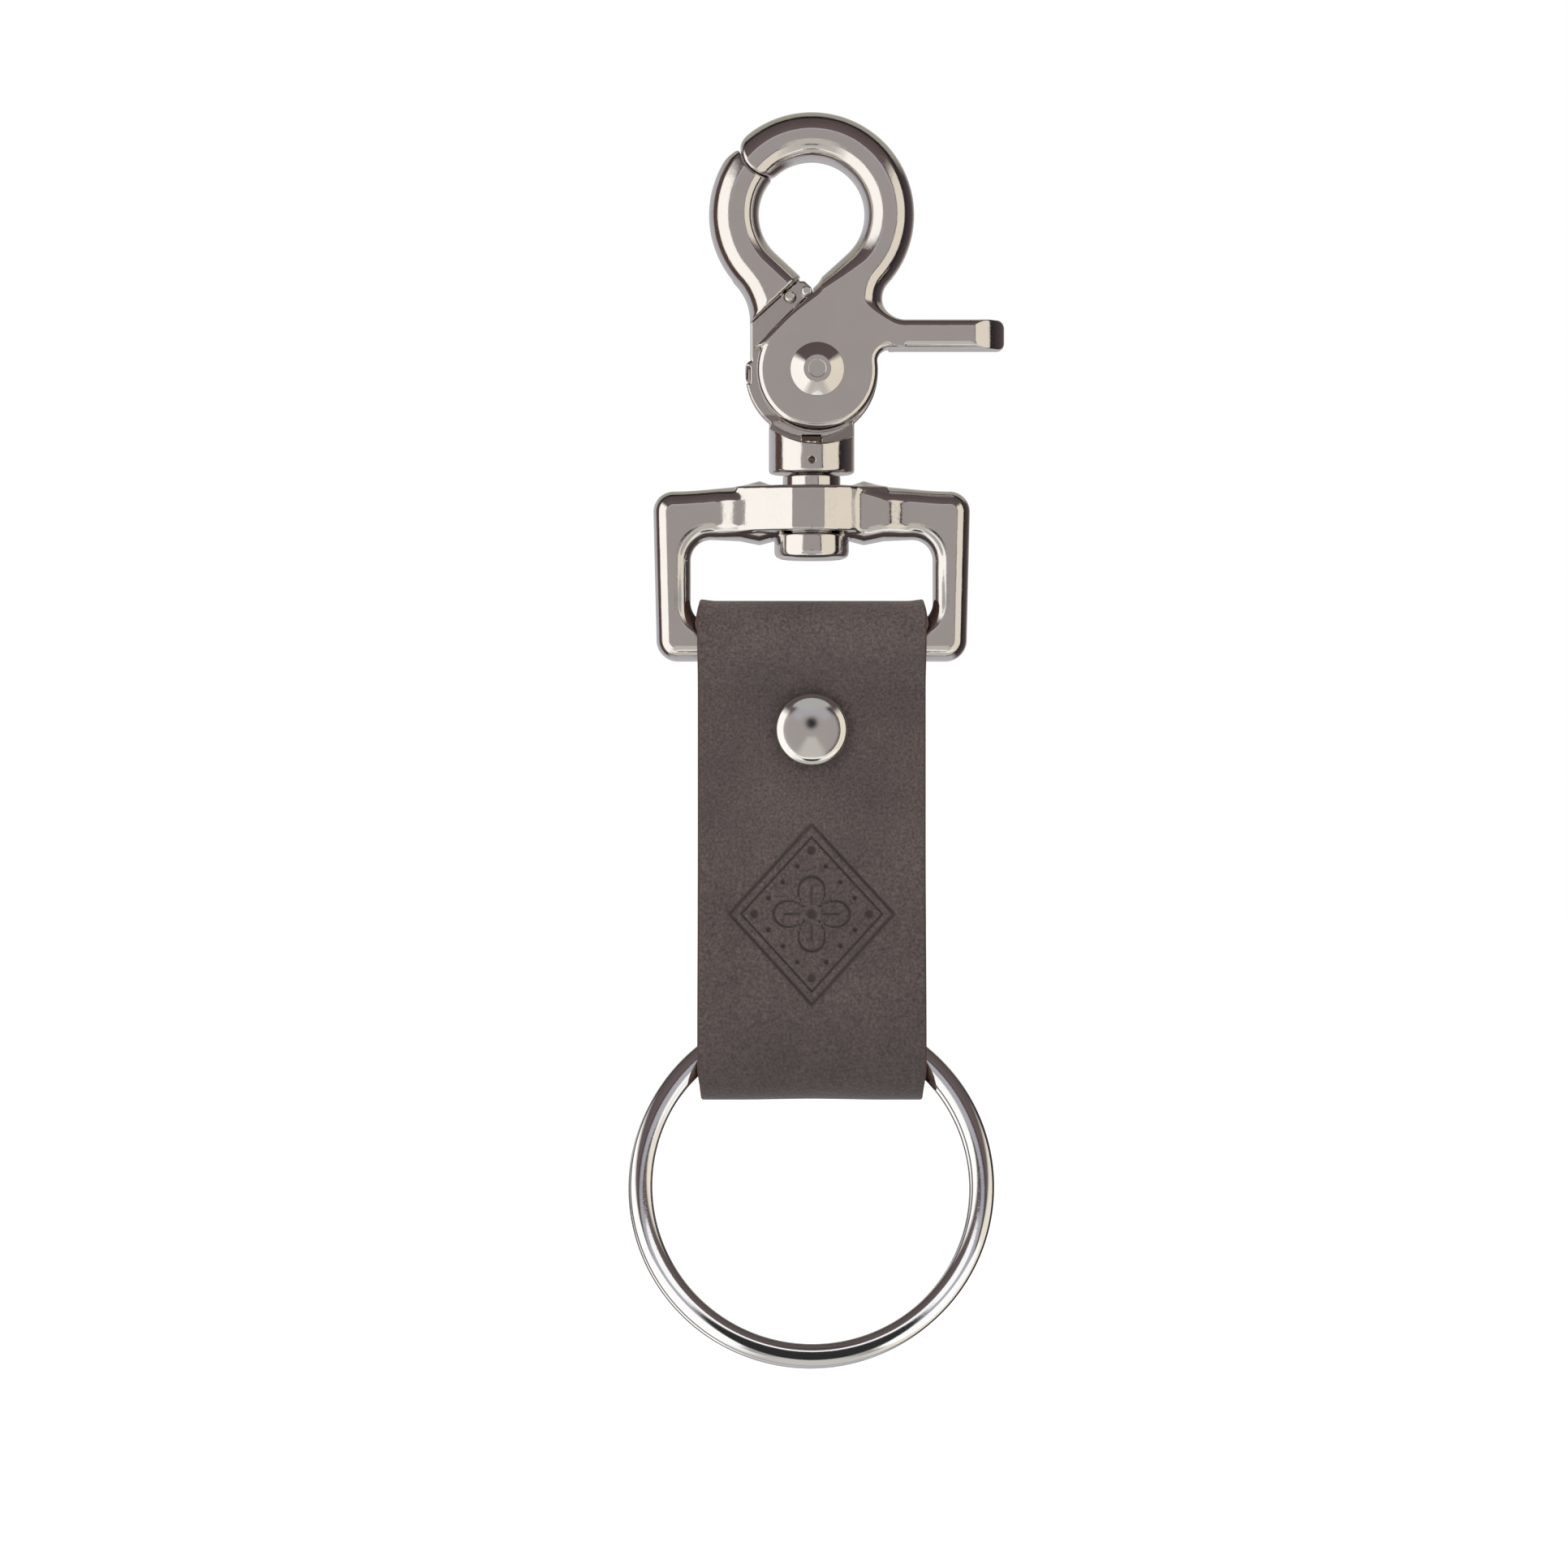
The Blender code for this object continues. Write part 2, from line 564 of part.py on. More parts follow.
def make_pivot_rivet(material):
    """The rivet that both lap plates turn on, with its coned front head and low tail."""
    face = HALF_DEPTH + FINE_CLEARANCE
    crown = face + PIVOT_HEAD_HEIGHT
    tail = face + PIVOT_TAIL_HEIGHT
    edge = PIVOT_HEAD_EDGE
    profile = [(0.0, -crown + PIVOT_DISH), (PIVOT_HEAD_TOP_RADIUS - PIVOT_LIP, -crown + PIVOT_DISH)]
    profile += [(PIVOT_HEAD_TOP_RADIUS - edge, -crown), (PIVOT_HEAD_TOP_RADIUS, -crown)]
    profile += [(PIVOT_HEAD_RADIUS, -face - edge), (PIVOT_HEAD_RADIUS - edge, -face)]
    profile += [(PIVOT_SHANK_RADIUS, -face), (PIVOT_SHANK_RADIUS, face), (PIVOT_TAIL_RADIUS, face)]
    for i in range(1, 4):
        turn = math.pi / 2 * i / 4
        profile.append((PIVOT_TAIL_RADIUS * math.cos(turn), face + (tail - face) * math.sin(turn)))
    profile.append((0.0, tail))
    return make_piece("pivot_rivet", turned(profile, (PIVOT_X, PIVOT_Z), "Y"), material)


def make_spring(material):
    """The torsion spring round the pivot, as one unbroken wire."""
    curve = bpy.data.curves.new("torsion_spring", "CURVE")
    curve.dimensions = "3D"
    curve.bevel_depth = SPRING_WIRE / 2
    curve.bevel_resolution = 2
    curve.use_fill_caps = True
    route = spring_route()
    spline = curve.splines.new("POLY")
    spline.points.add(len(route) - 1)
    for point, place in zip(spline.points, route):
        point.co = (*place, 1.0)
    curve.materials.append(material)
    piece = bpy.data.objects.new("torsion_spring", curve)
    bpy.context.collection.objects.link(piece)
    return piece


def make_post(material):
    """The headed swivel post: a stem in the collar, a neck in the boss and a round head."""
    head_top = BOSS_BOTTOM_Z - CLEARANCE
    head_bottom = head_top - POST_HEAD_HEIGHT
    radius, edge = POST_HEAD_RADIUS, POST_HEAD_EDGE
    profile = [(0.0, head_bottom)]
    centre = (radius - edge, head_bottom + edge)
    profile += arc(centre, edge, -math.pi / 2, 0.0, 4)
    profile += [(radius, head_top - POST_HEAD_TOP_EDGE), (radius - POST_HEAD_TOP_EDGE, head_top)]
    profile += [(POST_NECK_RADIUS, head_top)]
    profile += [(POST_NECK_RADIUS, NECK_TOP_Z), (POST_STEM_RADIUS, NECK_TOP_Z)]
    profile += [(POST_STEM_RADIUS, POST_TOP_Z), (POST_TAIL_RADIUS, POST_TOP_Z)]
    profile += [(POST_TAIL_RADIUS, POST_TOP_Z + POST_TAIL_LENGTH), (0.0, POST_TOP_Z + POST_TAIL_LENGTH)]
    return make_piece("swivel_post", turned(profile, (0.0, 0.0), "Z"), material)


def frame_outline(top_half, bottom_half, top, bottom, radius, top_stations):
    """One rounded frame outline, with the same count of points for each call."""
    corners = 5
    quarter = math.pi / 2
    outline = [(x, top) for x in top_stations]
    outline += arc((top_half - radius, top - radius), radius, quarter, 0.0, corners)
    outline += arc((bottom_half - radius, bottom + radius), radius, 0.0, -quarter, corners)
    outline += [(share * (bottom_half - radius), bottom) for share in (0.5, 0.0, -0.5)]
    outline += arc((radius - bottom_half, bottom + radius), radius, -quarter, -2 * quarter, corners)
    outline += arc((radius - top_half, top - radius), radius, 2 * quarter, quarter, corners)
    return outline


def top_bar_sections():
    """Places and levels along the top bar: left half from its plain part over the ear to the boss."""
    head_side = POST_HEAD_RADIUS + CLEARANCE
    inset = CLEARANCE / 3
    plain = (EAR_X + EAR_REACH, LOOP_TOP_Z, WINDOW_TOP_Z, LOOP_DEPTH / 2)
    ear = (EAR_X, LOOP_TOP_Z + EAR_RISE, WINDOW_TOP_Z - EAR_DROP, EAR_DEPTH)
    boss = (head_side, BOSS_TOP_Z - inset, BOSS_BOTTOM_Z + inset, EAR_DEPTH)
    middle = (head_side / 3, BOSS_TOP_Z - inset, BOSS_BOTTOM_Z + inset, EAR_DEPTH)
    between = tuple(a + EAR_FOOT_SHARE * (b - a) for a, b in zip(plain, ear))
    left = [(-x, top, bottom, depth) for x, top, bottom, depth in (plain, between, ear, boss, middle)]
    return left + [(-x, top, bottom, depth) for x, top, bottom, depth in reversed(left)]


def make_loop(material, axis):
    """The swivel loop: a rounded frame with pointed ears and a bored boss on its top bar."""
    bar = top_bar_sections()
    stations = [section[0] for section in bar]
    top, bottom = LOOP_HALF_WIDTH_TOP, LOOP_HALF_WIDTH_BOTTOM
    outer = frame_outline(top, bottom, LOOP_TOP_Z, LOOP_BOTTOM_Z, LOOP_CORNER, stations)
    half = WINDOW_HALF_WIDTH
    inner = frame_outline(half, half, WINDOW_TOP_Z, WINDOW_BOTTOM_Z, WINDOW_CORNER, stations)
    loops = []
    for i, (out, into) in enumerate(zip(outer, inner)):
        depth = LOOP_DEPTH / 2
        if i < len(bar):
            x, top, bottom, depth = bar[i]
            out, into = (x, top), (x, bottom)
        loops.append(bar_section(at(out), at(into), depth, LOOP_RIM))
    piece = make_piece("swivel_loop", loft(loops, closed=True), material, axis)
    squash = BOSS_HALF_DEPTH / BOSS_HALF_WIDTH
    side, edge = BOSS_HALF_WIDTH, BOSS_EDGE
    profile = [(0.0, BOSS_BOTTOM_Z), (side - edge, BOSS_BOTTOM_Z), (side, BOSS_BOTTOM_Z + edge)]
    profile += [(side, BOSS_TOP_Z - edge), (side - edge, BOSS_TOP_Z), (0.0, BOSS_TOP_Z)]
    boss = turned(profile, (0.0, 0.0), "Z")
    for corner in boss.verts:
        corner.co.y *= squash
    combine(piece, make_piece("boss_tool", boss), "UNION")
    bore = POST_NECK_RADIUS + CLEARANCE
    low = BOSS_BOTTOM_Z - CLEARANCE
    combine(piece, rod("boss_bore_tool", bore, low, BOSS_TOP_Z + CLEARANCE, (0.0, 0.0), "Z"), "DIFFERENCE")
    return piece


def strap_centre_line():
    """The strip's middle line in Y and Z, from its hidden end round both folds to its outer end."""
    line = []
    taper_low = BAR_Z - UPPER_TAPER
    steps = 10
    inner_end = RIVET_Z - OVERLAP_BELOW
    line += [(STACK_Y, inner_end), (STACK_Y, RIVET_Z)]
    for i in range(steps):
        share = i / steps
        line.append((smooth(STACK_Y, BAR_FOLD_RADIUS, share), taper_low + UPPER_TAPER * share))
    line += arc((0.0, BAR_Z), BAR_FOLD_RADIUS, 0.0, math.pi, 16)
    front_y = STACK_Y - LAYER_PITCH
    for i in range(1, steps + 1):
        share = i / steps
        line.append((smooth(-BAR_FOLD_RADIUS, front_y, share), BAR_Z - UPPER_TAPER * share))
    line.append((front_y, RIVET_Z))
    spread_top = RING_FOLD_Z + LOWER_TAPER
    for i in range(steps):
        share = i / steps
        line.append((smooth(front_y, -RING_FOLD_RADIUS, share), spread_top - LOWER_TAPER * share))
    line += arc((0.0, RING_FOLD_Z), RING_FOLD_RADIUS, math.pi, 2 * math.pi, 20)
    back_y = STACK_Y + LAYER_PITCH
    for i in range(1, steps + 1):
        share = i / steps
        line.append((smooth(RING_FOLD_RADIUS, back_y, share), RING_FOLD_Z + LOWER_TAPER * share))
    line += [(back_y, RIVET_Z), (back_y, taper_low)]
    return line


def strip_outline(line, thickness):
    """Both faces of a strip that follows a middle line, as one closed outline."""
    places = [Vector(point) for point in line]
    left, right = [], []
    for i, place in enumerate(places):
        before = places[max(i - 1, 0)]
        after = places[min(i + 1, len(places) - 1)]
        along = (after - before).normalized()
        across = Vector((-along.y, along.x)) * thickness / 2
        left.append(place + across)
        right.append(place - across)
    return left + right[::-1]


def make_strap(material, axis):
    """The leather strip, folded round the loop's bar and round the ring, with its rivet hole."""
    outline = strip_outline(strap_centre_line(), LEATHER)
    half = STRAP_WIDTH / 2
    bm = loft([[Vector((side, p.x, p.y)) for p in outline] for side in (-half, half)])
    piece = make_piece("leather_strap", bm, material, axis)
    hole = SOCKET_TUBE_RADIUS + CLEARANCE
    low, high = STACK_FRONT_Y - LEATHER, STACK_BACK_Y + LEATHER
    tool = rod("rivet_hole_tool", hole, low, high, (0.0, RIVET_Z), steps=SMALL_TURNED_STEPS)
    combine(piece, tool, "DIFFERENCE")
    return piece


def cap_profile(rim, side):
    """Outside and inside of a domed cap shell whose open rim lies at one depth."""
    profile = []
    steps = 8
    for wall in (0.0, CAP_WALL):
        radius, height = CAP_RADIUS - wall, CAP_HEIGHT - wall
        dome = []
        for i in range(steps + 1):
            turn = math.pi / 2 * i / steps
            dome.append((radius * math.sin(turn), rim + side * height * math.cos(turn) ** CAP_ROUNDNESS))
        dome[0] = (0.0, rim + side * height)
        dome[-1] = (radius, rim)
        profile += dome if not profile else dome[::-1]
    profile[-1] = (0.0, profile[-1][1])
    return profile


def make_rivet(material, axis):
    """The double cap rivet: two caps, the socket in front and the post behind."""
    centre = (0.0, RIVET_Z)
    front = STACK_FRONT_Y - FINE_CLEARANCE
    back = STACK_BACK_Y + FINE_CLEARANCE
    steps = SMALL_TURNED_STEPS
    pieces = [make_piece("rivet_front_cap", turned(cap_profile(front, FRONT), centre, "Y"), material, axis)]
    pieces.append(make_piece("rivet_rear_cap", turned(cap_profile(back, BACK), centre, "Y"), material, axis))
    flange, wall = SOCKET_FLANGE_RADIUS, CAP_WALL
    bore = RIVET_POST_RADIUS + FINE_CLEARANCE
    tube_end = back - LEATHER / 2
    profile = [(0.0, front - wall), (flange, front - wall), (flange, front), (SOCKET_TUBE_RADIUS, front)]
    profile += [(SOCKET_TUBE_RADIUS, tube_end), (bore, tube_end), (bore, front), (0.0, front)]
    pieces.append(make_piece("rivet_socket", turned(profile, centre, "Y", steps), material, axis))
    post_end = front + CLEARANCE
    radius = RIVET_POST_RADIUS
    profile = [(0.0, back + wall), (flange, back + wall), (flange, back), (radius, back)]
    profile += [(radius, post_end + radius / 2), (radius / 2, post_end), (0.0, post_end)]
    pieces.append(make_piece("rivet_post", turned(profile, centre, "Y", steps), material, axis))
    return pieces


def ring_swing_height():
    """The Z of the ring's swing axis, where its tilted wire just clears the lower fold."""
    room = FOLD_GAP_RADIUS - CLEARANCE
    lean, rise = math.sin(RING_TILT), math.cos(RING_TILT)
    heights = []
    for side in (-1.0, 1.0):
        y = -RING_ARC_HALF * lean + side * RING_HALF_HEIGHT * rise
        z = -RING_ARC_HALF * rise - side * RING_HALF_HEIGHT * lean
        heights.append(RING_FOLD_Z - z - math.sqrt(max(room ** 2 - y ** 2, 0.0)))
    return max(heights)


def make_ring(material, axis, swing_z):
    """The split ring: one flat wire wound in two turns that cross over inside the fold."""
    low, across = RING_WIRE_WIDTH / 2, RING_WIRE_THICKNESS / 2
    middle = RING_OUTER_RADIUS - low
    edge = RING_EDGE
    corner = [(-low + edge, -across), (low - edge, -across), (low, -across + edge), (low, across - edge),
              (low - edge, across), (-low + edge, across), (-low, across - edge), (-low, -across + edge)]
    down = Vector((0.0, -math.sin(RING_TILT), -math.cos(RING_TILT)))
    normal = Vector((0.0, math.cos(RING_TILT), -math.sin(RING_TILT)))
    side = Vector((1.0, 0.0, 0.0))
    centre = Vector((0.0, 0.0, swing_z)) + down * RING_HANG
    half = RING_CROSSING / 2
    start, end = half - 2 * math.pi, 2 * math.pi - half
    loops = []
    for i in range(RING_STEPS + 1):
        angle = start + (end - start) * i / RING_STEPS
        level = smooth(-RING_PITCH / 2, RING_PITCH / 2, (angle + half) / RING_CROSSING)
        outward = side * math.sin(angle) - down * math.cos(angle)
        loops.append([centre + outward * (middle + r) + normal * (level + t) for r, t in corner])
    return make_piece("key_ring", loft(loops), material, axis)


def main():
    """Build the key fob at rest."""
    clear_scene()
    nickel = (0.60, 0.57, 0.55)
    casting = make_material("nickel_casting", nickel, 0.12, 1.0)
    trigger_metal = make_material("nickel_trigger", nickel, 0.12, 1.0)
    rivet_metal = make_material("nickel_rivet", (0.66, 0.63, 0.60), 0.15, 1.0)
    post_metal = make_material("nickel_post", nickel, 0.14, 1.0)
    loop_metal = make_material("nickel_loop", nickel, 0.13, 1.0)
    spring_steel = make_material("spring_steel", (0.55, 0.54, 0.52), 0.25, 1.0)
    leather = make_material("taupe_leather", (0.102, 0.080, 0.076), 0.62, 0.0)
    cap_metal = make_material("nickel_cap", (0.72, 0.70, 0.67), 0.14, 1.0)
    ring_steel = make_material("chromed_ring", (0.70, 0.69, 0.68), 0.08, 1.0)

    trigger_axis = make_axis("trigger_axis", (PIVOT_X, 0.0, PIVOT_Z))
    swivel_axis = make_axis("swivel_axis", (0.0, 0.0, BOSS_TOP_Z))
    strap_axis = make_axis("strap_axis", (0.0, 0.0, BAR_Z))
    swing_z = ring_swing_height()
    ring_axis = make_axis("ring_axis", (0.0, 0.0, swing_z))

    make_body(casting)
    make_trigger(trigger_metal, trigger_axis)
    make_pivot_rivet(rivet_metal)
    make_spring(spring_steel)
    make_post(post_metal)
    make_loop(loop_metal, swivel_axis)
    make_strap(leather, strap_axis)
    make_rivet(cap_metal, strap_axis)
    make_ring(ring_steel, ring_axis, swing_z)


main()
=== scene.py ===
"""Looks of a leather key fob with a nickel trigger hook, a swivel loop and a split ring.

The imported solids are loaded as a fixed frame. Each visible piece is worked out again
here as a fine surface in the same place. Shapes are worked out in millimetres, with X
to the right, Y away from the viewer and Z up, and their origin is the middle of the
hook's eye.
"""
import math

import bpy
import numpy as np
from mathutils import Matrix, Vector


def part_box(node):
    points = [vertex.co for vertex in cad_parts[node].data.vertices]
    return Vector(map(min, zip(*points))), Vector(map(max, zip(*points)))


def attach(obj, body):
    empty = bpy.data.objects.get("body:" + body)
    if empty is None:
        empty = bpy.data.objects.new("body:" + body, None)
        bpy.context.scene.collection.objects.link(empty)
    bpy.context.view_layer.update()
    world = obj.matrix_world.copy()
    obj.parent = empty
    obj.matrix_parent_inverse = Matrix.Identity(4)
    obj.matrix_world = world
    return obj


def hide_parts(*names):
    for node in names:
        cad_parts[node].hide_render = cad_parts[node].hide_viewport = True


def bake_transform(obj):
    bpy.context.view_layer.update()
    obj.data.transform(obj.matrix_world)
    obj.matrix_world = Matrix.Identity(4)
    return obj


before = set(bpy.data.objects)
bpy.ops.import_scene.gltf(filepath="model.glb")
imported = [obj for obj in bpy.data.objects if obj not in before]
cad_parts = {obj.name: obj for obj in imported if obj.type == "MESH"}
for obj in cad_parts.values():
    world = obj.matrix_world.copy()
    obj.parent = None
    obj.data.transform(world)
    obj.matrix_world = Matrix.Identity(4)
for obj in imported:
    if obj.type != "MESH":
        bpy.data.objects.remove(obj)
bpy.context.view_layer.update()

MM = 0.001

# Hook, in millimetres
EYE_OUTER = 11.28
EYE_BORE = 5.8
EYE_MIDDLE = (EYE_OUTER + EYE_BORE) / 2
CROTCH_SLOPE = math.radians(47.0)
HALF_DEPTH = 3.0
LAP_FACE = 0.15
NOSE_ANGLE = math.radians(122.0)
NOSE_RADIUS = 3.3
NOSE = (EYE_MIDDLE * math.cos(NOSE_ANGLE), EYE_MIDDLE * math.sin(NOSE_ANGLE))
CUP_GAP = 0.06
CUP_ANGLE = math.radians(126.6)
TIP_LEAN = (-0.35, 0.94)
TIP_REACH = 9.6
PIVOT = (0.6, -17.2)
FRONT_DISC = 6.65
BACK_DISC = 7.3
SWEEP = 8.2
LEVER_TOP = -11.7
LEVER_BOTTOM = -14.9
LEVER_TIP = 21.2
LEVER_BACK = 2.4
LEVER_BOX = ((2.0, LEVER_BOTTOM), (LEVER_TIP, LEVER_TOP))
HUB_BOX = ((-8.0, LEVER_BOTTOM), (7.6, -2.0))
PAD_START = 17.7
PAD_RADIUS = 5.1
PAD_SLOPE = math.radians(15.0)
NOTCH_FILLET = 2.5
UNDER_FILLET = 1.3
SHOULDER_X = -6.75
SHOULDER_FILLET = 6.0
SHOULDER_FOOT = -15.9
COLLAR_RADIUS = 4.7
COLLAR_TOP = -22.8
COLLAR_BOTTOM = -28.5
SCOOP_RADIUS = 8.15
SHELF_TOP = -7.2
SIDE_SLOT_BOX = ((-7.12, -18.5), (-6.74, -16.6))
SIDE_SLOT_BACK = 2.6
PIT_BOX = ((-1.05, -25.2), (1.05, -24.2))
PIT_BACK = 1.0
PORE_Z = -27.2
PORE_RADIUS = 0.38
STEM_HOLE = 2.4
WEB_TOP = PIVOT[1] + 12.9
WEB_SWELL = 2.5
WEB_LINE = ((0.2, -8.13), (-4.135, -12.53))
CUT_LINE = ((-6.68, -11.9), (-2.14, -7.77))
RIVET_HOLE = 1.55
POCKET_DEPTH = 2.06
LAP_START = 0.3

# Spring
SPRING_WIRE = 1.2
COIL_RADIUS = 2.3
COIL_PITCH = 1.5
COIL_STEPS = 90
WIRE_SIDES = 20
WIRE_BEND = 0.9
BODY_LEG = (-2.4, -9.0)
TRIGGER_LEG = (-0.55, -8.5)
BODY_LEG_FRONT = -1.2
TRIGGER_LEG_FRONT = -2.1
LEG_SET_BACK = 0.38

# Loop and swivel post
LOOP_TOP_HALF = 17.45
LOOP_FOOT_HALF = 17.0
LOOP_TOP = -30.4
LOOP_BOTTOM = -49.1
WINDOW_HALF = 13.3
WINDOW_TOP = -35.6
WINDOW_BOTTOM = -45.0
EAR_X = 5.7
BOSS_TOP = -29.9
BOSS_BOTTOM = -34.9
BOSS_HALF = 8.4
BOSS_LEAN = 0.92
SWIVEL_AXIS = (0.0, 0.0)
POST_NECK = 3.17
POST_HEAD = 4.1

# Sides of the turned pieces
TURN_SIDES = 128

# Strap, its ornament and its rivet
STRAP_HALF = 12.5
LEATHER = 1.7
STACK_Y = 1.0
LAYER_PITCH = 2.0
BAR_Z = -46.85
BAR_FOLD = 3.6
RING_FOLD = 4.25
RING_FOLD_Z = -92.2
UPPER_TAPER = 5.0
LOWER_TAPER = 24.0
RIVET_Z = -56.6
ORNAMENT_Z = -76.9
CAP_RADIUS = 3.95
CAP_HEIGHT = 1.7
CAP_CROWN = 3.15
CAP_SHOULDER = 3.8
STAMP_DEPTH = 0.27

# Split ring
RING_REACH = 19.85
RING_WIDTH = 2.5
RING_THICKNESS = 1.35
RING_PITCH = 1.55
RING_TILT = math.radians(15.0)
RING_CROSSING = math.radians(32.0)
RING_CENTRE = (-0.1, -4.205, -106.35)
RING_SHIFT = 0.2
RING_ROUNDNESS = 2.0 / 2.1
RING_SIDES = 40
RING_STEPS = 720


def finish_piece(name, points, faces, body, node, normals=None):
    """One smooth mesh object from points in millimetres and faces, which stands for a CAD node."""
    mesh = bpy.data.meshes.new(name)
    mesh.from_pydata((np.asarray(points, float) * MM).tolist(), [], [list(map(int, f)) for f in faces])
    mesh.validate()
    mesh.shade_smooth()
    if normals is not None:
        mesh.normals_split_custom_set_from_vertices(normals.tolist())
    piece = bpy.data.objects.new(name, mesh)
    bpy.context.scene.collection.objects.link(piece)
    if body is not None:
        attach(piece, body)
    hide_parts(node)
    return piece


def grid_faces(rows, columns):
    """Quads between the neighbouring points of a grid whose columns close into loops."""
    row, column = np.arange(rows - 1)[:, None] * columns, np.arange(columns)[None, :]
    ahead = (column + 1) % columns
    corners = (row + column, row + ahead, row + columns + ahead, row + columns + column)
    return np.stack(np.broadcast_arrays(*corners), -1).reshape(-1, 4)


def tube_faces(rows, columns):
    """A tube's quads and the face over each end."""
    end = np.arange(columns)
    return [*grid_faces(rows, columns).tolist(), end[::-1].tolist(), (end + (rows - 1) * columns).tolist()]


def write_layer(piece, name, values):
    """One number for each point of a piece, which its material reads by name."""
    layer = piece.data.attributes.new(name, "FLOAT", "POINT")
    layer.data.foreach_set("value", np.ascontiguousarray(values, np.float32).ravel())


def ease(low, high, value):
    """0 below low, 1 above high, and a cubic with level ends between."""
    share = np.clip((value - low) / (high - low), 0.0, 1.0)
    return share * share * (3.0 - 2.0 * share)


def meet(a, b, soft):
    """What lies inside both fields, its edge rounded over the width soft."""
    overlap = np.maximum(soft - np.abs(a - b), 0.0) / soft
    return np.maximum(a, b) + overlap * overlap * soft / 4


def join(a, b, soft):
    """What lies inside either field, its crease filled over the width soft."""
    return -meet(-a, -b, soft)


def cut(a, b, soft):
    """What lies inside a and outside b, its edge rounded over the width soft."""
    return meet(a, -b, soft)


def corner_fillet(a, b, x, z, centre, radius, middle, toward_b, deep=3.0):
    """A disc's outline and a side's joined with a fillet arc: between the ways from its centre to the
    disc's middle and to the side the distance is the radius less that from the centre, elsewhere the
    lesser of a and b."""
    px, pz = x - centre[0], z - centre[1]
    ax, az = middle[0] - centre[0], middle[1] - centre[1]
    turn = ax * toward_b[1] - az * toward_b[0]
    along_a = (px * toward_b[1] - pz * toward_b[0]) / turn
    along_b = (ax * pz - az * px) / turn
    reach = np.hypot(px, pz)
    in_corner = (along_a > 0) & (along_b > 0) & (reach < radius + deep)
    return np.where(in_corner, radius - reach, np.minimum(a, b))


def past_line(line, x, z):
    """Distance from a line through two places, positive to the left of the way from first to second."""
    (x0, z0), (x1, z1) = line
    length = math.hypot(x1 - x0, z1 - z0)
    return ((x1 - x0) * (z - z0) - (z1 - z0) * (x - x0)) / length


def round_box(across, along, corner):
    """Distance to a rectangle with round corners, from the distances past its two pairs of sides."""
    across, along = across + corner, along + corner
    outside = np.hypot(np.maximum(across, 0), np.maximum(along, 0))
    return outside + np.minimum(np.maximum(across, along), 0) - corner


def box_outline(x, z, box, radius):
    """Distance to a rectangle in X and Z, given by two corners, with round corners."""
    (x0, z0), (x1, z1) = box
    return round_box(np.abs(x - (x0 + x1) / 2) - (x1 - x0) / 2,
                     np.abs(z - (z0 + z1) / 2) - (z1 - z0) / 2, radius)


def plate(outline, y, front, back, width, depth):
    """A plate between two depths, flat in the middle of its outline, whose rim is a quarter
    ellipse of a width in the plane and a depth along Y."""
    half = (back - front) / 2
    level = np.abs(y - (front + back) / 2)
    across = np.maximum(outline + width, 0.0) / width
    along = np.maximum(level - (half - depth), 0.0) / depth
    return (np.hypot(across, along) - 1.0) * np.minimum(width, depth)


def rod(a, b, place, radius):
    """Distance to a long round rod at a place in two of the three directions."""
    return np.hypot(a - place[0], b - place[1]) - radius


def between(y, low, high):
    """Distance to the layer between two levels."""
    return np.maximum(low - y, y - high)


def slot_outline(x, z, start, end, radius):
    """Distance to a round-ended slot between two places."""
    run_x, run_z = end[0] - start[0], end[1] - start[1]
    along = ((x - start[0]) * run_x + (z - start[1]) * run_z) / (run_x ** 2 + run_z ** 2)
    share = np.clip(along, 0.0, 1.0)
    return np.hypot(x - start[0] - share * run_x, z - start[1] - share * run_z) - radius


def bore_outline(x, z):
    """The eye's opening: a circle above the two places where straight sides leave it for the crotch."""
    side = np.abs(x)
    lean, drop = math.cos(CROTCH_SLOPE), math.sin(CROTCH_SLOPE)
    below = -side * drop - z * lean > 0
    return np.where(below, side * lean - z * drop - EYE_BORE, np.hypot(x, z) - EYE_BORE)


def trigger_outline(x, z):
    """The trigger in X and Z: ring above the web line, nose end, web, front disc and lever."""
    ring = np.hypot(x, z) - EYE_OUTER
    lever = np.minimum(box_outline(x, z, LEVER_BOX, 0.8), box_outline(x, z, HUB_BOX, 0.1))
    notch_z = LEVER_TOP + NOTCH_FILLET
    notch = (math.sqrt((EYE_OUTER + NOTCH_FILLET) ** 2 - notch_z ** 2), notch_z)
    outer = corner_fillet(ring, lever, x, z, notch, NOTCH_FILLET, (0.0, 0.0), (0.0, -1.0))
    disc = rod(x, z, PIVOT, FRONT_DISC)
    under_z = LEVER_BOTTOM - UNDER_FILLET
    reach = FRONT_DISC + UNDER_FILLET
    under = (PIVOT[0] + math.sqrt(reach ** 2 - (under_z - PIVOT[1]) ** 2), under_z)
    outer = corner_fillet(disc, outer, x, z, under, UNDER_FILLET, PIVOT, (0.0, 1.0))
    past_nose = math.cos(NOSE_ANGLE) * z - math.sin(NOSE_ANGLE) * x
    nose_end = np.where(past_nose > 0, rod(x, z, NOSE, NOSE_RADIUS), -NOSE_RADIUS)
    web = -past_line(WEB_LINE, x, z) - WEB_SWELL * ease(0.5, 4.0, x)
    upper = z > WEB_TOP
    web = np.where(z < WEB_LINE[1][1], np.minimum(web, disc), web)
    return outer, -bore_outline(x, z), np.where(upper, nose_end, web), upper


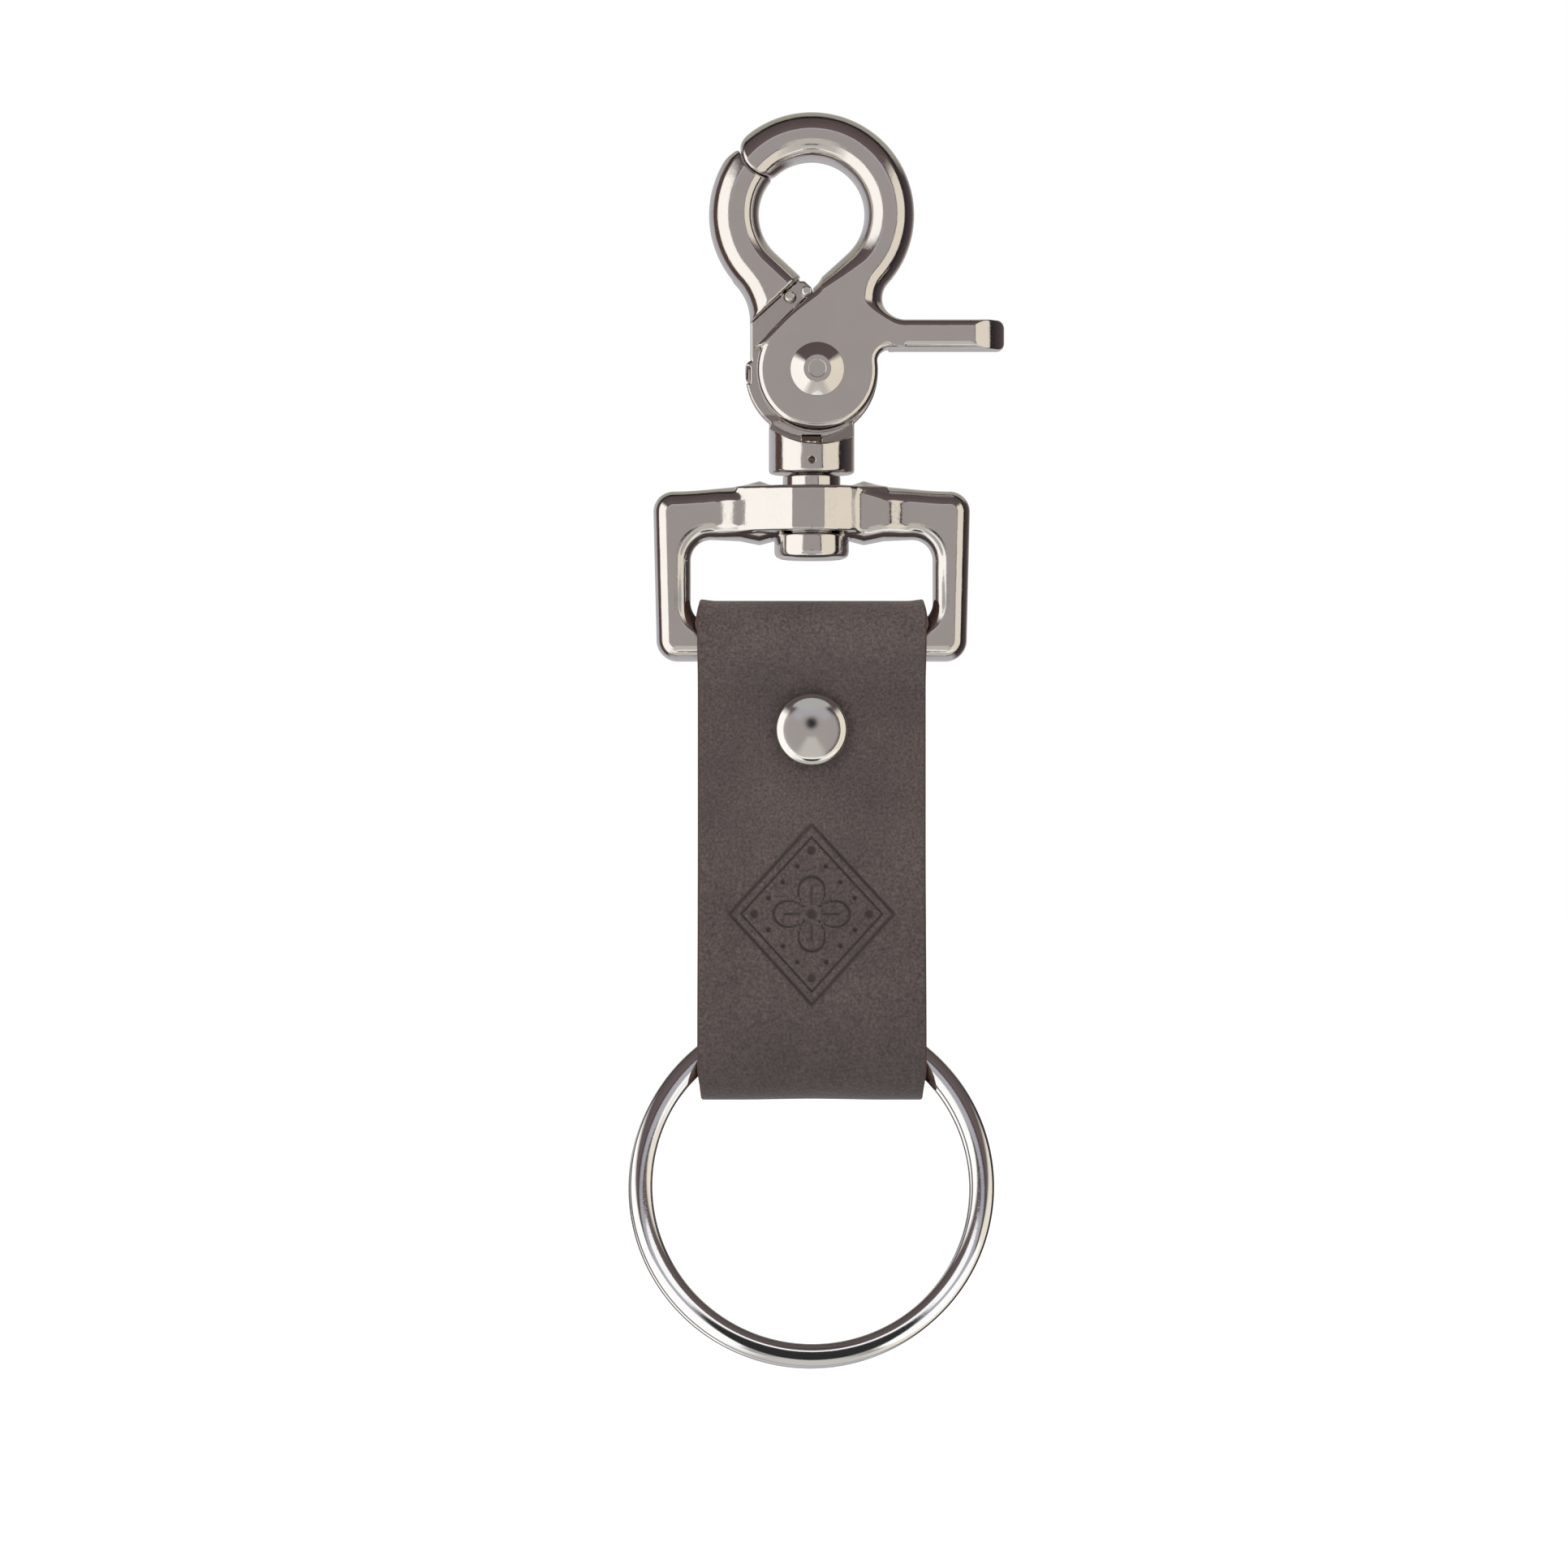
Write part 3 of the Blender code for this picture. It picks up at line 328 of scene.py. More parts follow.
def trigger_field(x, y, z):
    """Distance to the trigger casting: a plate in its outline, whose rims grow thinner towards the web, with
    a thinner lever, a thumb pad hollowed from the lever's end, and the lap plate's faces and hollows."""
    outer, bore, side, upper = trigger_outline(x, z)
    thin = ease(-9.2, -11.9, z)
    inner_thin = ease(-4.0, -12.0, z)
    near_inner = np.where(upper, bore, np.maximum(bore, side)) > outer
    width = np.where(near_inner, 2.5 - 1.85 * inner_thin, 2.4 - 1.55 * thin)
    depth = np.where(near_inner, 3.0 - 2.3 * inner_thin, 3.0 - 2.1 * thin)
    outline = np.maximum(outer, bore)
    outline = np.where(upper, outline, np.maximum(outline, side))
    lever = ease(7.6, 9.4, x) * ease(-9.0, -11.0, z)
    back = HALF_DEPTH - (HALF_DEPTH - LEVER_BACK) * lever
    shape = plate(outline, y, -HALF_DEPTH, back, width, np.minimum(depth, (HALF_DEPTH + back) / 2))
    shape = meet(shape, np.where(upper, side, -5.0), 0.5)
    pad = np.hypot(np.maximum(x - PAD_START + PAD_RADIUS * math.sin(PAD_SLOPE), 0.0),
                   np.minimum(y + HALF_DEPTH - PAD_RADIUS * math.cos(PAD_SLOPE), 0.0)) - PAD_RADIUS
    shape = meet(shape, pad, 0.1)
    lap = np.minimum(rod(x, z, PIVOT, SWEEP), np.maximum(x - 0.3, between(z, PIVOT[1], -7.53)))
    shape = cut(shape, np.maximum(lap, -LAP_FACE - y), 0.2)
    return lap_hollows(shape, x, y, z, TRIGGER_LEG, -POCKET_DEPTH, -LAP_FACE + LAP_START, 0.0)


def lap_hollows(shape, x, y, z, leg, low, high, notch_back):
    """The spring's pocket and leg channel, the leg's notch and the rivet's hole, cut from a lap plate."""
    wire = SPRING_WIRE / 2
    pocket = rod(x, z, PIVOT, COIL_RADIUS + wire + 0.3)
    channel = slot_outline(x, z, coil_touch(leg), leg, wire + 0.1)
    covered = np.where(y > 0, between(y, LAP_FACE + 0.25, high), between(y, low, -LAP_FACE))
    hollow = np.minimum(np.maximum(pocket, between(y, low, high)), np.maximum(channel, covered))
    notch = np.maximum(rod(x, z, leg, wire + 0.15), y - notch_back)
    pin = np.maximum(rod(x, z, leg, wire + 0.04), between(y, -1.0, 1.4))
    shape = cut(shape, np.minimum(hollow, rod(x, z, PIVOT, RIVET_HOLE)), 0.12)
    return cut(shape, np.minimum(notch, pin), 0.08)


def leg_angle(leg):
    """The turn at which a leg of the spring leaves its coil: the way to the leg's end, turned by the angle
    whose cosine is the coil's radius over the distance to that end."""
    side = 1.0 if leg == BODY_LEG else -1.0
    run = (leg[0] - PIVOT[0], leg[1] - PIVOT[1])
    return math.atan2(run[1], run[0]) + side * math.acos(COIL_RADIUS / math.hypot(*run))


def coil_touch(leg):
    """The place where a leg of the spring leaves its coil."""
    angle = leg_angle(leg)
    return (PIVOT[0] + COIL_RADIUS * math.cos(angle), PIVOT[1] + COIL_RADIUS * math.sin(angle))


def body_field(x, y, z):
    """Distance to the body casting: left arm, shelf, disc and collar, less a slot in the disc's side, a pit
    over the collar, a casting pore and the hole for the swivel post's stem."""
    ring = np.hypot(x, z) - EYE_OUTER
    column = np.maximum(np.maximum(SHOULDER_X - x, x - 6.0), between(z, SHOULDER_FOOT, -3.0))
    neck_x = SHOULDER_X - SHOULDER_FILLET
    neck = (neck_x, -math.sqrt((EYE_OUTER + SHOULDER_FILLET) ** 2 - neck_x ** 2))
    outer = corner_fillet(ring, column, x, z, neck, SHOULDER_FILLET, (0.0, 0.0), (1.0, 0.0), deep=4.5)
    bore = -bore_outline(x, z)
    width = np.where(bore > outer, 1.9, 2.7)
    arm = plate(np.maximum(np.maximum(outer, bore), x), y, -HALF_DEPTH, HALF_DEPTH, width, HALF_DEPTH)
    arm = meet(arm, -rod(x, z, NOSE, NOSE_RADIUS + CUP_GAP), 0.3)
    arm = meet(arm, TIP_LEAN[0] * x + TIP_LEAN[1] * z - TIP_REACH, 0.9)
    arm = meet(arm, math.sin(CUP_ANGLE) * x - math.cos(CUP_ANGLE) * z, 0.3)
    arm = meet(arm, -past_line(CUT_LINE, x, z), 0.35)
    foot = np.minimum(SHOULDER_X - x, z - SHOULDER_FOOT)
    disc = meet(rod(x, z, (0.0, PIVOT[1]), BACK_DISC), foot, 0.9)
    shelf = np.maximum(np.maximum(outer, bore), np.maximum(x, z - SHELF_TOP))
    rim = 2.0 - 1.2 * ease(-10.0, -13.5, z)
    behind = y > LAP_FACE + 0.7
    lap = plate(np.minimum(disc, shelf), y, LAP_FACE, HALF_DEPTH,
                np.where(behind, rim, 0.3), np.where(behind, rim * 0.7, 0.3))
    collar = plate(rod(x, y, SWIVEL_AXIS, COLLAR_RADIUS), z, COLLAR_BOTTOM, COLLAR_TOP, 0.4, 0.4)
    scoop = np.maximum(rod(x, z, PIVOT, SCOOP_RADIUS), y - LAP_FACE)
    shape = join(join(arm, lap, 0.2), cut(collar, scoop, 0.25), 0.3)
    pit = np.maximum(box_outline(x, z, PIT_BOX, 0.1), between(y, -1.0, PIT_BACK))
    side_slot = np.maximum(box_outline(x, z, SIDE_SLOT_BOX, 0.15), between(y, -1.0, SIDE_SLOT_BACK))
    pore = np.sqrt(x * x + (y + COLLAR_RADIUS - 0.25) ** 2 + (z - PORE_Z) ** 2) - PORE_RADIUS
    shape = cut(cut(cut(shape, pit, 0.15), side_slot, 0.15), pore, 0.08)
    shape = cut(shape, np.maximum(rod(x, y, SWIVEL_AXIS, STEM_HOLE), between(z, -30.0, -25.6)), 0.15)
    return lap_hollows(shape, x, y, z, BODY_LEG, LAP_FACE - LAP_START, POCKET_DEPTH, LAP_FACE - 0.1)


def boss_depths():
    """Half depths of the loop's boss along X: a crown in the middle, a long slope to the left, a steeper
    flank to the right and a shallow facet at each end, smoothed over a third of a millimetre."""
    places = [-8.6, -8.4, -7.5, -5.0, -2.1, 0.0, 1.3, 2.8, 4.2, 5.1, 6.9, 8.4, 8.6]
    depths = [1.9, 2.0, 2.55, 3.62, 4.53, 4.8, 4.66, 4.18, 3.45, 2.75, 2.05, 1.98, 1.9]
    along = np.linspace(-9.0, 9.0, 361)
    kernel = np.hanning(9) / np.hanning(9).sum()
    return along, np.convolve(np.pad(np.interp(along, places, depths), 4, mode="edge"), kernel, "valid")


def loop_field(x, y, z):
    """Distance to the swivel loop: tapered frame, pointed ears, crowned boss and its bore."""
    off = np.abs(np.abs(x) - EAR_X)
    outside = np.abs(x) > EAR_X
    peak = np.clip(1.0 - off / np.where(outside, 2.2, 1.5), 0.0, 1.0)
    rise = np.where(outside, ease(9.5, 0.0, off), 1.0)
    high = LOOP_TOP + 0.6 * rise + 0.55 * peak
    half = LOOP_FOOT_HALF + (LOOP_TOP_HALF - LOOP_FOOT_HALF) * (z - LOOP_BOTTOM) / (LOOP_TOP - LOOP_BOTTOM)
    outer = round_box(np.abs(x) - half, np.abs(z - (high + LOOP_BOTTOM) / 2) - (high - LOOP_BOTTOM) / 2, 2.3)
    low = WINDOW_TOP - 0.3 * rise - 0.4 * peak
    window = round_box(np.abs(x) - WINDOW_HALF,
                       np.abs(z - (low + WINDOW_BOTTOM) / 2) - (low - WINDOW_BOTTOM) / 2, 2.4)
    depth = 2.0 + 0.6 * ease(10.8, 7.6, np.abs(x)) * ease(-38.0, -36.0, z)
    shape = plate(np.maximum(outer, -window), y, -depth, depth, np.where(-window > outer, 1.9, 1.8), depth)
    boss = (np.abs(y) - np.interp(np.where(y < 0, x, -x), *boss_depths())) * BOSS_LEAN
    boss = meet(meet(boss, np.abs(x) - BOSS_HALF, 0.4), between(z, BOSS_BOTTOM, BOSS_TOP), 0.5)
    return cut(join(shape, boss, 0.3), rod(x, y, SWIVEL_AXIS, POST_NECK + 0.3), 0.3)


def net_surface(field, low, high, step):
    """Where a field changes sign on a grid: each cell that the surface crosses holds one point, the
    mean of its edges' crossings, and each crossed edge gives one quad between its four cells."""
    axes = [np.arange(a - 2 * step, b + 3 * step, step) for a, b in zip(low, high)]
    grids = np.meshgrid(*axes, indexing="ij", sparse=True)
    value = np.ascontiguousarray(np.broadcast_to(field(*grids), tuple(len(a) for a in axes)))
    cells = tuple(len(a) - 1 for a in axes)
    quads, crossings = [], []
    for axis in range(3):
        first, second = [slice(None)] * 3, [slice(None)] * 3
        first[axis], second[axis] = slice(0, -1), slice(1, None)
        start, end = value[tuple(first)], value[tuple(second)]
        crossed = (start < 0) != (end < 0)
        index = np.stack(np.nonzero(crossed), 1)
        share = start[crossed] / (start[crossed] - end[crossed])
        place = np.stack([axes[k][index[:, k]] for k in range(3)], 1)
        place[:, axis] += share * step
        corners = np.stack([np.ravel_multi_index(tuple((index - np.roll(back, axis)).T), cells)
                            for back in ((0, 1, 1), (0, 0, 1), (0, 0, 0), (0, 1, 0))], 1)
        inward = start[crossed] >= 0
        corners[inward] = corners[inward][:, ::-1]
        quads.append(corners)
        crossings.append(np.repeat(place, 4, axis=0))
    quads, crossings = np.concatenate(quads), np.concatenate(crossings)
    faces = np.unique(quads, return_inverse=True)[1].ravel()
    count = np.bincount(faces)
    points = np.stack([np.bincount(faces, crossings[:, k]) for k in range(3)], 1) / count[:, None]
    return points, faces.reshape(-1, 4)


def slope_at(field, points, reach=0.02):
    """A field's gradient at some points, from its values a little way to each side."""
    return np.stack([(field(*(points + shift).T) - field(*(points - shift).T)) / (2 * reach)
                     for shift in np.eye(3) * reach], 1)


def settle(field, points, rounds=2):
    """Points moved along the field's slope until they lie on its surface."""
    for _ in range(rounds):
        slope = slope_at(field, points)
        size = np.maximum(np.linalg.norm(slope, axis=1), 0.2)
        move = np.clip(field(*points.T) / size, -0.1, 0.1)
        points = points - slope / size[:, None] * move[:, None]
    return points


def cast_piece(node, field, body, step):
    """A casting skinned from its field: netted, relaxed between neighbours and settled on the surface."""
    low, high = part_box(node)
    points, faces = net_surface(field, [c / MM for c in low], [c / MM for c in high], step)
    pairs = np.concatenate([faces[:, [k, (k + 1) % 4]] for k in range(4)])
    pairs = np.unique(np.sort(pairs, axis=1), axis=0)
    one, two = pairs.T
    degree = np.bincount(pairs.ravel())[:, None]
    points = settle(field, points)
    for _ in range(3):
        total = np.stack([np.bincount(one, points[two, k], len(points))
                          + np.bincount(two, points[one, k], len(points)) for k in range(3)], 1)
        points = settle(field, points + 0.6 * (total / degree - points))
    normals = slope_at(field, points, 0.05)
    normals /= np.maximum(np.linalg.norm(normals, axis=1), 1e-9)[:, None]
    piece = finish_piece(node + "_cast", points, faces, body, node, normals)
    # The layer of painted shade in the casting's hollows, which the metal material darkens by.
    write_layer(piece, "painted_hollow_shade", painted_recess_shade(*points.T, normals[:, 1]))
    return piece


def painted_recess_shade(x, y, z, facing):
    """How much painted shade a casting gets in its hollows: a little on the lap face, more over the collar,
    and all of it in the slot, the pit and the pore."""

    def in_box(box, margin, back):
        """Whether a point lies in a cut: in its box widened by a margin in X and Z, behind the lap face."""
        (x0, z0), (x1, z1) = box
        return ((np.abs(x - (x0 + x1) / 2) < (x1 - x0) / 2 + margin[0])
                & (np.abs(z - (z0 + z1) / 2) < (z1 - z0) / 2 + margin[1]) & (y < back))

    lap = (np.abs(y - LAP_FACE) < 0.06) & (facing < -0.8)
    slot = in_box(SIDE_SLOT_BOX, (0.07, 0.10), SIDE_SLOT_BACK - 0.3) & (y > LAP_FACE + 0.15)
    pit = in_box(PIT_BOX, (0.05, 0.05), PIT_BACK + 0.1) & (y > LAP_FACE + 0.1)
    pore = (np.hypot(x, z - PORE_Z) < 0.3) & (y < -4.0)
    # Painted shade: full in the slot, pit and pore, 0.6 on the lap face over the collar and 0.14 elsewhere on
    # it.
    return np.where(slot | pit | pore, 1.0, np.where(lap, np.where(z < COLLAR_TOP + 0.8, 0.6, 0.14), 0.0))


def turned_piece(name, profile, centre, axis, body, node):
    """A profile of (radius, height) pairs turned about a line along Y or Z, from pole to pole. The centre
    is the line's place in the two other directions."""
    radius, height = np.array(profile[1:-1]).T
    angle = np.arange(TURN_SIDES) * 2 * math.pi / TURN_SIDES
    across, along = radius[:, None] * np.cos(angle), radius[:, None] * np.sin(angle)
    level = np.broadcast_to(height[:, None], across.shape)
    first, last = profile[0][1], profile[-1][1]
    points = np.stack([centre[0] + across, level, centre[1] + along], -1).reshape(-1, 3)
    points = np.concatenate([points, [(centre[0], first, centre[1]), (centre[0], last, centre[1])]])
    if axis == "Z":
        points = points[:, [0, 2, 1]]
    ring = np.arange(TURN_SIDES)
    ahead = (ring + 1) % TURN_SIDES
    pole = across.size
    top = pole - TURN_SIDES
    low_cap = np.stack([np.full(TURN_SIDES, pole), ahead, ring], 1)
    high_cap = np.stack([np.full(TURN_SIDES, pole + 1), top + ring, top + ahead], 1)
    faces = [*grid_faces(len(radius), TURN_SIDES).tolist(), *low_cap.tolist(), *high_cap.tolist()]
    if (axis == "Z") != (last > first):
        faces = [face[::-1] for face in faces]
    return finish_piece(name, points, faces, body, node)


def curve_points(corners):
    """A profile whose inner corners are rounded, from (radius, height, reach) rows: each gives a quadratic
    curve between its two sides, which starts and ends the reach away from it."""
    places = [np.array(corner[:2]) for corner in corners]
    path = [places[0]]
    for before, here, after, corner in zip(places, places[1:], places[2:], corners[1:]):
        sides = (before - here, after - here)
        reach = min(corner[2], *[0.45 * np.linalg.norm(side) for side in sides])
        start, end = [here + side / np.linalg.norm(side) * reach for side in sides]
        for t in np.arange(6) / 5:
            path.append((1 - t) ** 2 * start + 2 * t * (1 - t) * here + t ** 2 * end)
    return [*path, places[-1]]


def make_pivot_rivet():
    """The coned front head, shank and low domed tail of the rivet that the jaws turn on."""
    face, crown = HALF_DEPTH + 0.2, HALF_DEPTH + 1.05
    corners = [(0.0, -crown + 0.03, 0), (0.92, -crown + 0.03, 0.04), (1.0, -crown, 0.04), (1.5, -crown, 0.1),
               (2.92, -face - 0.08, 0.06), (2.95, -face, 0.03), (1.25, -face, 0.05), (1.25, face, 0.05),
               (2.6, face, 0.03), (2.45, face + 0.3, 0.25), (1.3, face + 0.58, 0.5), (0.0, face + 0.6, 0)]
    return turned_piece("pivot_rivet_polished", curve_points(corners), PIVOT, "Y", "hook",
                        "pivot_rivet")


def make_swivel_post():
    """The swivel post: round head inside the loop, neck through the boss and stem in the collar."""
    top, bottom = BOSS_BOTTOM - 0.3, BOSS_BOTTOM - 3.0
    foot = COLLAR_BOTTOM - 0.2
    corners = [(0.0, bottom, 0), (3.3, bottom, 0.3), (3.95, bottom + 0.3, 0.25),
               (POST_HEAD, bottom + 0.75, 0.3), (POST_HEAD, top, 0.25), (POST_NECK, top, 0.2),
               (POST_NECK, foot, 0.25), (2.2, foot, 0.2), (2.2, -25.9, 0.3), (0.8, -25.9, 0.2),
               (0.8, -24.8, 0.2), (0.0, -24.8, 0)]
    return turned_piece("swivel_post_polished", curve_points(corners), SWIVEL_AXIS, "Z", "hook",
                        "swivel_post")


def make_cap(name, rim, side, node):
    """A rivet cap: a round crown that leans evenly to 14 degrees, a shoulder that leans on to 42 degrees,
    a tight rim and an upright wall. Heights come from summing the lean's tangent along the radius."""
    radius = np.concatenate([np.linspace(0.0, CAP_CROWN, 30), np.linspace(CAP_CROWN, CAP_SHOULDER, 12)[1:],
                             np.linspace(CAP_SHOULDER, CAP_RADIUS, 9)[1:]])
    lean = np.interp(radius, [0.0, CAP_CROWN, CAP_SHOULDER, 3.9, CAP_RADIUS], [0.0, 14.3, 42.0, 60.0, 80.0])
    slope = np.tan(np.radians(lean))
    fall = np.concatenate([[0.0], np.cumsum((slope[1:] + slope[:-1]) / 2 * np.diff(radius))])
    wall = CAP_RADIUS - 0.35
    rest = CAP_HEIGHT - fall[-1]
    profile = [*zip(radius, CAP_HEIGHT - fall), (CAP_RADIUS, rest * 0.6), (CAP_RADIUS, 0.12),
               (CAP_RADIUS - 0.1, 0.0), (wall, 0.0), (wall, rest * 0.6), (wall * 0.8, rest * 0.95),
               (1.6, rest * 1.05), (0.0, rest * 1.05)]
    profile = [(r, rim + side * h) for r, h in profile]
    return turned_piece(name, profile, (0.0, RIVET_Z), "Y", "strap", node)


def make_ring():
    """The split ring: a crowned flat wire wound in two turns that cross over inside the fold. The wire's
    section is a superellipse, and a cubic carries it from one turn to the other."""
    turn = np.arange(RING_SIDES) * 2 * math.pi / RING_SIDES
    wide, thick = [size / 2 * np.sign(share) * np.abs(share) ** RING_ROUNDNESS
                   for size, share in ((RING_WIDTH, np.cos(turn)), (RING_THICKNESS, np.sin(turn)))]
    half = RING_CROSSING / 2
    angle = np.linspace(half - 2 * math.pi, 2 * math.pi - half, RING_STEPS)
    crossed = ease(-half, half, angle)
    down = np.array([0.0, -math.sin(RING_TILT), -math.cos(RING_TILT)])
    normal = np.array([0.0, math.cos(RING_TILT), -math.sin(RING_TILT)])
    outward = np.outer(np.sin(angle), (1.0, 0.0, 0.0)) - np.outer(np.cos(angle), down)
    end_taper = np.ones(RING_STEPS)
    end_taper[:4] = [0.35, 0.7, 0.87, 0.96]
    end_taper[-4:] = end_taper[3::-1]
    reach = RING_REACH - RING_WIDTH / 2 + np.outer(end_taper, wide)
    points = np.array(RING_CENTRE) + outward[:, None, :] * reach[:, :, None]
    points[:, :, 0] += RING_SHIFT * (0.5 - crossed)[:, None]
    level = RING_PITCH * (crossed - 0.5)[:, None] + np.outer(end_taper, thick)
    points = points + level[:, :, None] * normal
    return finish_piece("key_ring_polished", points.reshape(-1, 3), tube_faces(RING_STEPS, RING_SIDES),
                        "ring", "key_ring")


def tube(path, radius):
    """Points of a round wire along a path, its section carried along without twisting, with rounded ends."""
    path = np.asarray(path, float)
    along = np.gradient(path, axis=0)
    along /= np.linalg.norm(along, axis=1)[:, None]
    side = np.cross(along[0], (0.3, 0.1, 0.9))
    side /= np.linalg.norm(side)
    sides = []
    for direction in along:
        side = side - direction * np.dot(side, direction)
        side /= np.linalg.norm(side)
        sides.append(side)
    sides = np.array(sides)
    ups = np.cross(along, sides)
    size = np.full(len(path), radius)
    for k, share in enumerate((0.62, 0.88, 0.97)):
        size[[k, -1 - k]] = radius * share
    turn = np.arange(WIRE_SIDES) * 2 * math.pi / WIRE_SIDES
    ring = np.cos(turn)[:, None] * sides[:, None] + np.sin(turn)[:, None] * ups[:, None]
    return (path[:, None] + ring * size[:, None, None]).reshape(-1, 3)


def spring_path():
    """The spring wire's middle line in three lengths that overlap a little: rear leg, two turns at a
    steady pitch, and front leg."""
    start, end = leg_angle(BODY_LEG), leg_angle(TRIGGER_LEG) + 4 * math.pi
    half = COIL_PITCH * (end - start) / (4 * math.pi)
    turn = np.linspace(start, end, COIL_STEPS)
    coil = np.stack([PIVOT[0] + COIL_RADIUS * np.cos(turn), np.linspace(half, -half, COIL_STEPS),
                     PIVOT[1] + COIL_RADIUS * np.sin(turn)], 1)
    legs = []
    for leg, level, front, touch in (
            (BODY_LEG, half + LEG_SET_BACK, BODY_LEG_FRONT, coil[0]),
            (TRIGGER_LEG, -half, min(-half - WIRE_BEND, TRIGGER_LEG_FRONT), coil[-1])):
        bend = np.array([leg[0], level, leg[1]])
        lean = touch - bend
        lean = lean / np.linalg.norm(lean) * WIRE_BEND
        rise = np.array([0.0, math.copysign(WIRE_BEND, front - level), 0.0])
        t = np.linspace(0.0, 1.0, 9)[:, None]
        elbow = (1 - t) ** 2 * (bend + rise) + 2 * t * (1 - t) * bend + t ** 2 * (bend + lean)
        straight = np.linspace(bend + lean, touch, 12)[1:-1]
        tip = np.array([[leg[0], front + d, leg[1]] for d in (0.0, 0.05, 0.14, 0.26)])
        legs.append(np.concatenate([tip, elbow[1:], straight]))
    return np.concatenate([legs[0], coil[:4]]), coil, np.concatenate([coil[-4:], legs[1][::-1]])


def make_spring():
    """The closing spring: its rear leg stays with the hook, its front leg follows the trigger and its
    turns are a piece of their own between them, tied to neither."""
    pieces = []
    names, bodies = ("spring_rear_leg", "spring_turns", "spring_front_leg"), ("hook", None, "trigger")
    for name, path, body in zip(names, spring_path(), bodies):
        pieces.append(finish_piece(name, tube(path, SPRING_WIRE / 2), tube_faces(len(path), WIRE_SIDES),
                                   body, "torsion_spring"))
    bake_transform(pieces[1])
    return pieces


def strap_line():
    """The strip's middle line in Y and Z: hidden end, upper fold, front, lower fold and back."""
    front, back = STACK_Y - LAYER_PITCH, STACK_Y + LAYER_PITCH
    share = np.linspace(0.0, 1.0, 60)
    swing = np.linspace(0.0, math.pi, 90)
    taper_low = BAR_Z - UPPER_TAPER
    rest = ease(0.0, 1.0, share)
    parts = [
        ([STACK_Y, STACK_Y], [RIVET_Z - 6.4, taper_low - 0.01]),
        (STACK_Y + (BAR_FOLD - STACK_Y) * rest, taper_low + UPPER_TAPER * share),
        (BAR_FOLD * np.cos(swing), BAR_Z + BAR_FOLD * np.sin(swing)),
        (-BAR_FOLD + (front + BAR_FOLD) * rest, BAR_Z - UPPER_TAPER * share),
        ([front, front], [RIVET_Z, RING_FOLD_Z + LOWER_TAPER + 0.01]),
        (front + (-RING_FOLD - front) * rest, RING_FOLD_Z + LOWER_TAPER * (1 - share)),
        (-RING_FOLD * np.cos(swing), RING_FOLD_Z - RING_FOLD * np.sin(swing)),
        (RING_FOLD + (back - RING_FOLD) * rest, RING_FOLD_Z + LOWER_TAPER * share),
        ([back, back], [RIVET_Z, taper_low]),
    ]
    line = np.concatenate([np.stack([np.asarray(y, float), np.asarray(z, float)], 1) for y, z in parts])
    keep = np.concatenate([[True], np.linalg.norm(np.diff(line, axis=0), axis=1) > 1e-6])
    return line[keep]


def strap_rows():
    """Places along the strip's middle line, close together in the ornament's stretch."""
    line = strap_line()
    run = np.concatenate([[0.0], np.cumsum(np.linalg.norm(np.diff(line, axis=0), axis=1))])
    on_front = (line[:, 0] < 0) & (line[:, 1] < RIVET_Z) & (line[:, 1] > RING_FOLD_Z)

    def at_level(level):
        """The run at which the strip's front passes a height."""
        return np.interp(-level, -line[on_front, 1], run[on_front])

    first, last = at_level(ORNAMENT_Z + 10.8), at_level(ORNAMENT_Z - 10.8)
    stations = np.concatenate([np.linspace(0.0, first, 180), np.linspace(first, last, 146)[1:],
                               np.linspace(last, run[-1], 160)[1:]])
    y, z = np.interp(stations, run, line[:, 0]), np.interp(stations, run, line[:, 1])
    smooth = np.array([1, 4, 6, 4, 1]) / 16
    for _ in range(2):
        y[2:-2], z[2:-2] = np.convolve(y, smooth, "valid"), np.convolve(z, smooth, "valid")
    return stations, y, z, at_level(ORNAMENT_Z)


def strip_section():
    """The strip's section: X, side through its thickness from -1 inside to 1 outside, and how far
    round its burnished edge each point lies."""
    edge, fine_half = 0.26, 9.9
    rim = STRAP_HALF - edge
    outer = np.concatenate([np.linspace(-rim, -fine_half, 9)[:-1], np.linspace(-fine_half, fine_half, 134),
                            np.linspace(fine_half, rim, 9)[1:]])
    turn = np.linspace(math.pi / 2, -math.pi / 2, 13)[1:-1]
    side_x = rim + edge * np.cos(turn)
    side_v = np.sign(np.sin(turn)) * (1.0 - (1.0 - np.abs(np.sin(turn))) * edge / (LEATHER / 2))
    side_v[np.abs(np.sin(turn)) < 1e-6] = 0.0
    inner = np.linspace(rim, -rim, 26)
    x = np.concatenate([outer, side_x, inner, -side_x[::-1]])
    v = np.concatenate([np.ones(len(outer)), side_v, -np.ones(len(inner)), side_v[::-1]])
    edged = np.repeat([0.0, 1.0, 0.0, 1.0], [len(outer), len(side_x), len(inner), len(side_x)])
    return x, v, edged


def groove(distance, half_width):
    """A rounded groove along the zero line of a distance: 1 in its middle and 0 past its half width."""
    share = np.clip(np.abs(distance) / half_width, 0.0, 1.0)
    return (1.0 - share * share) ** 2


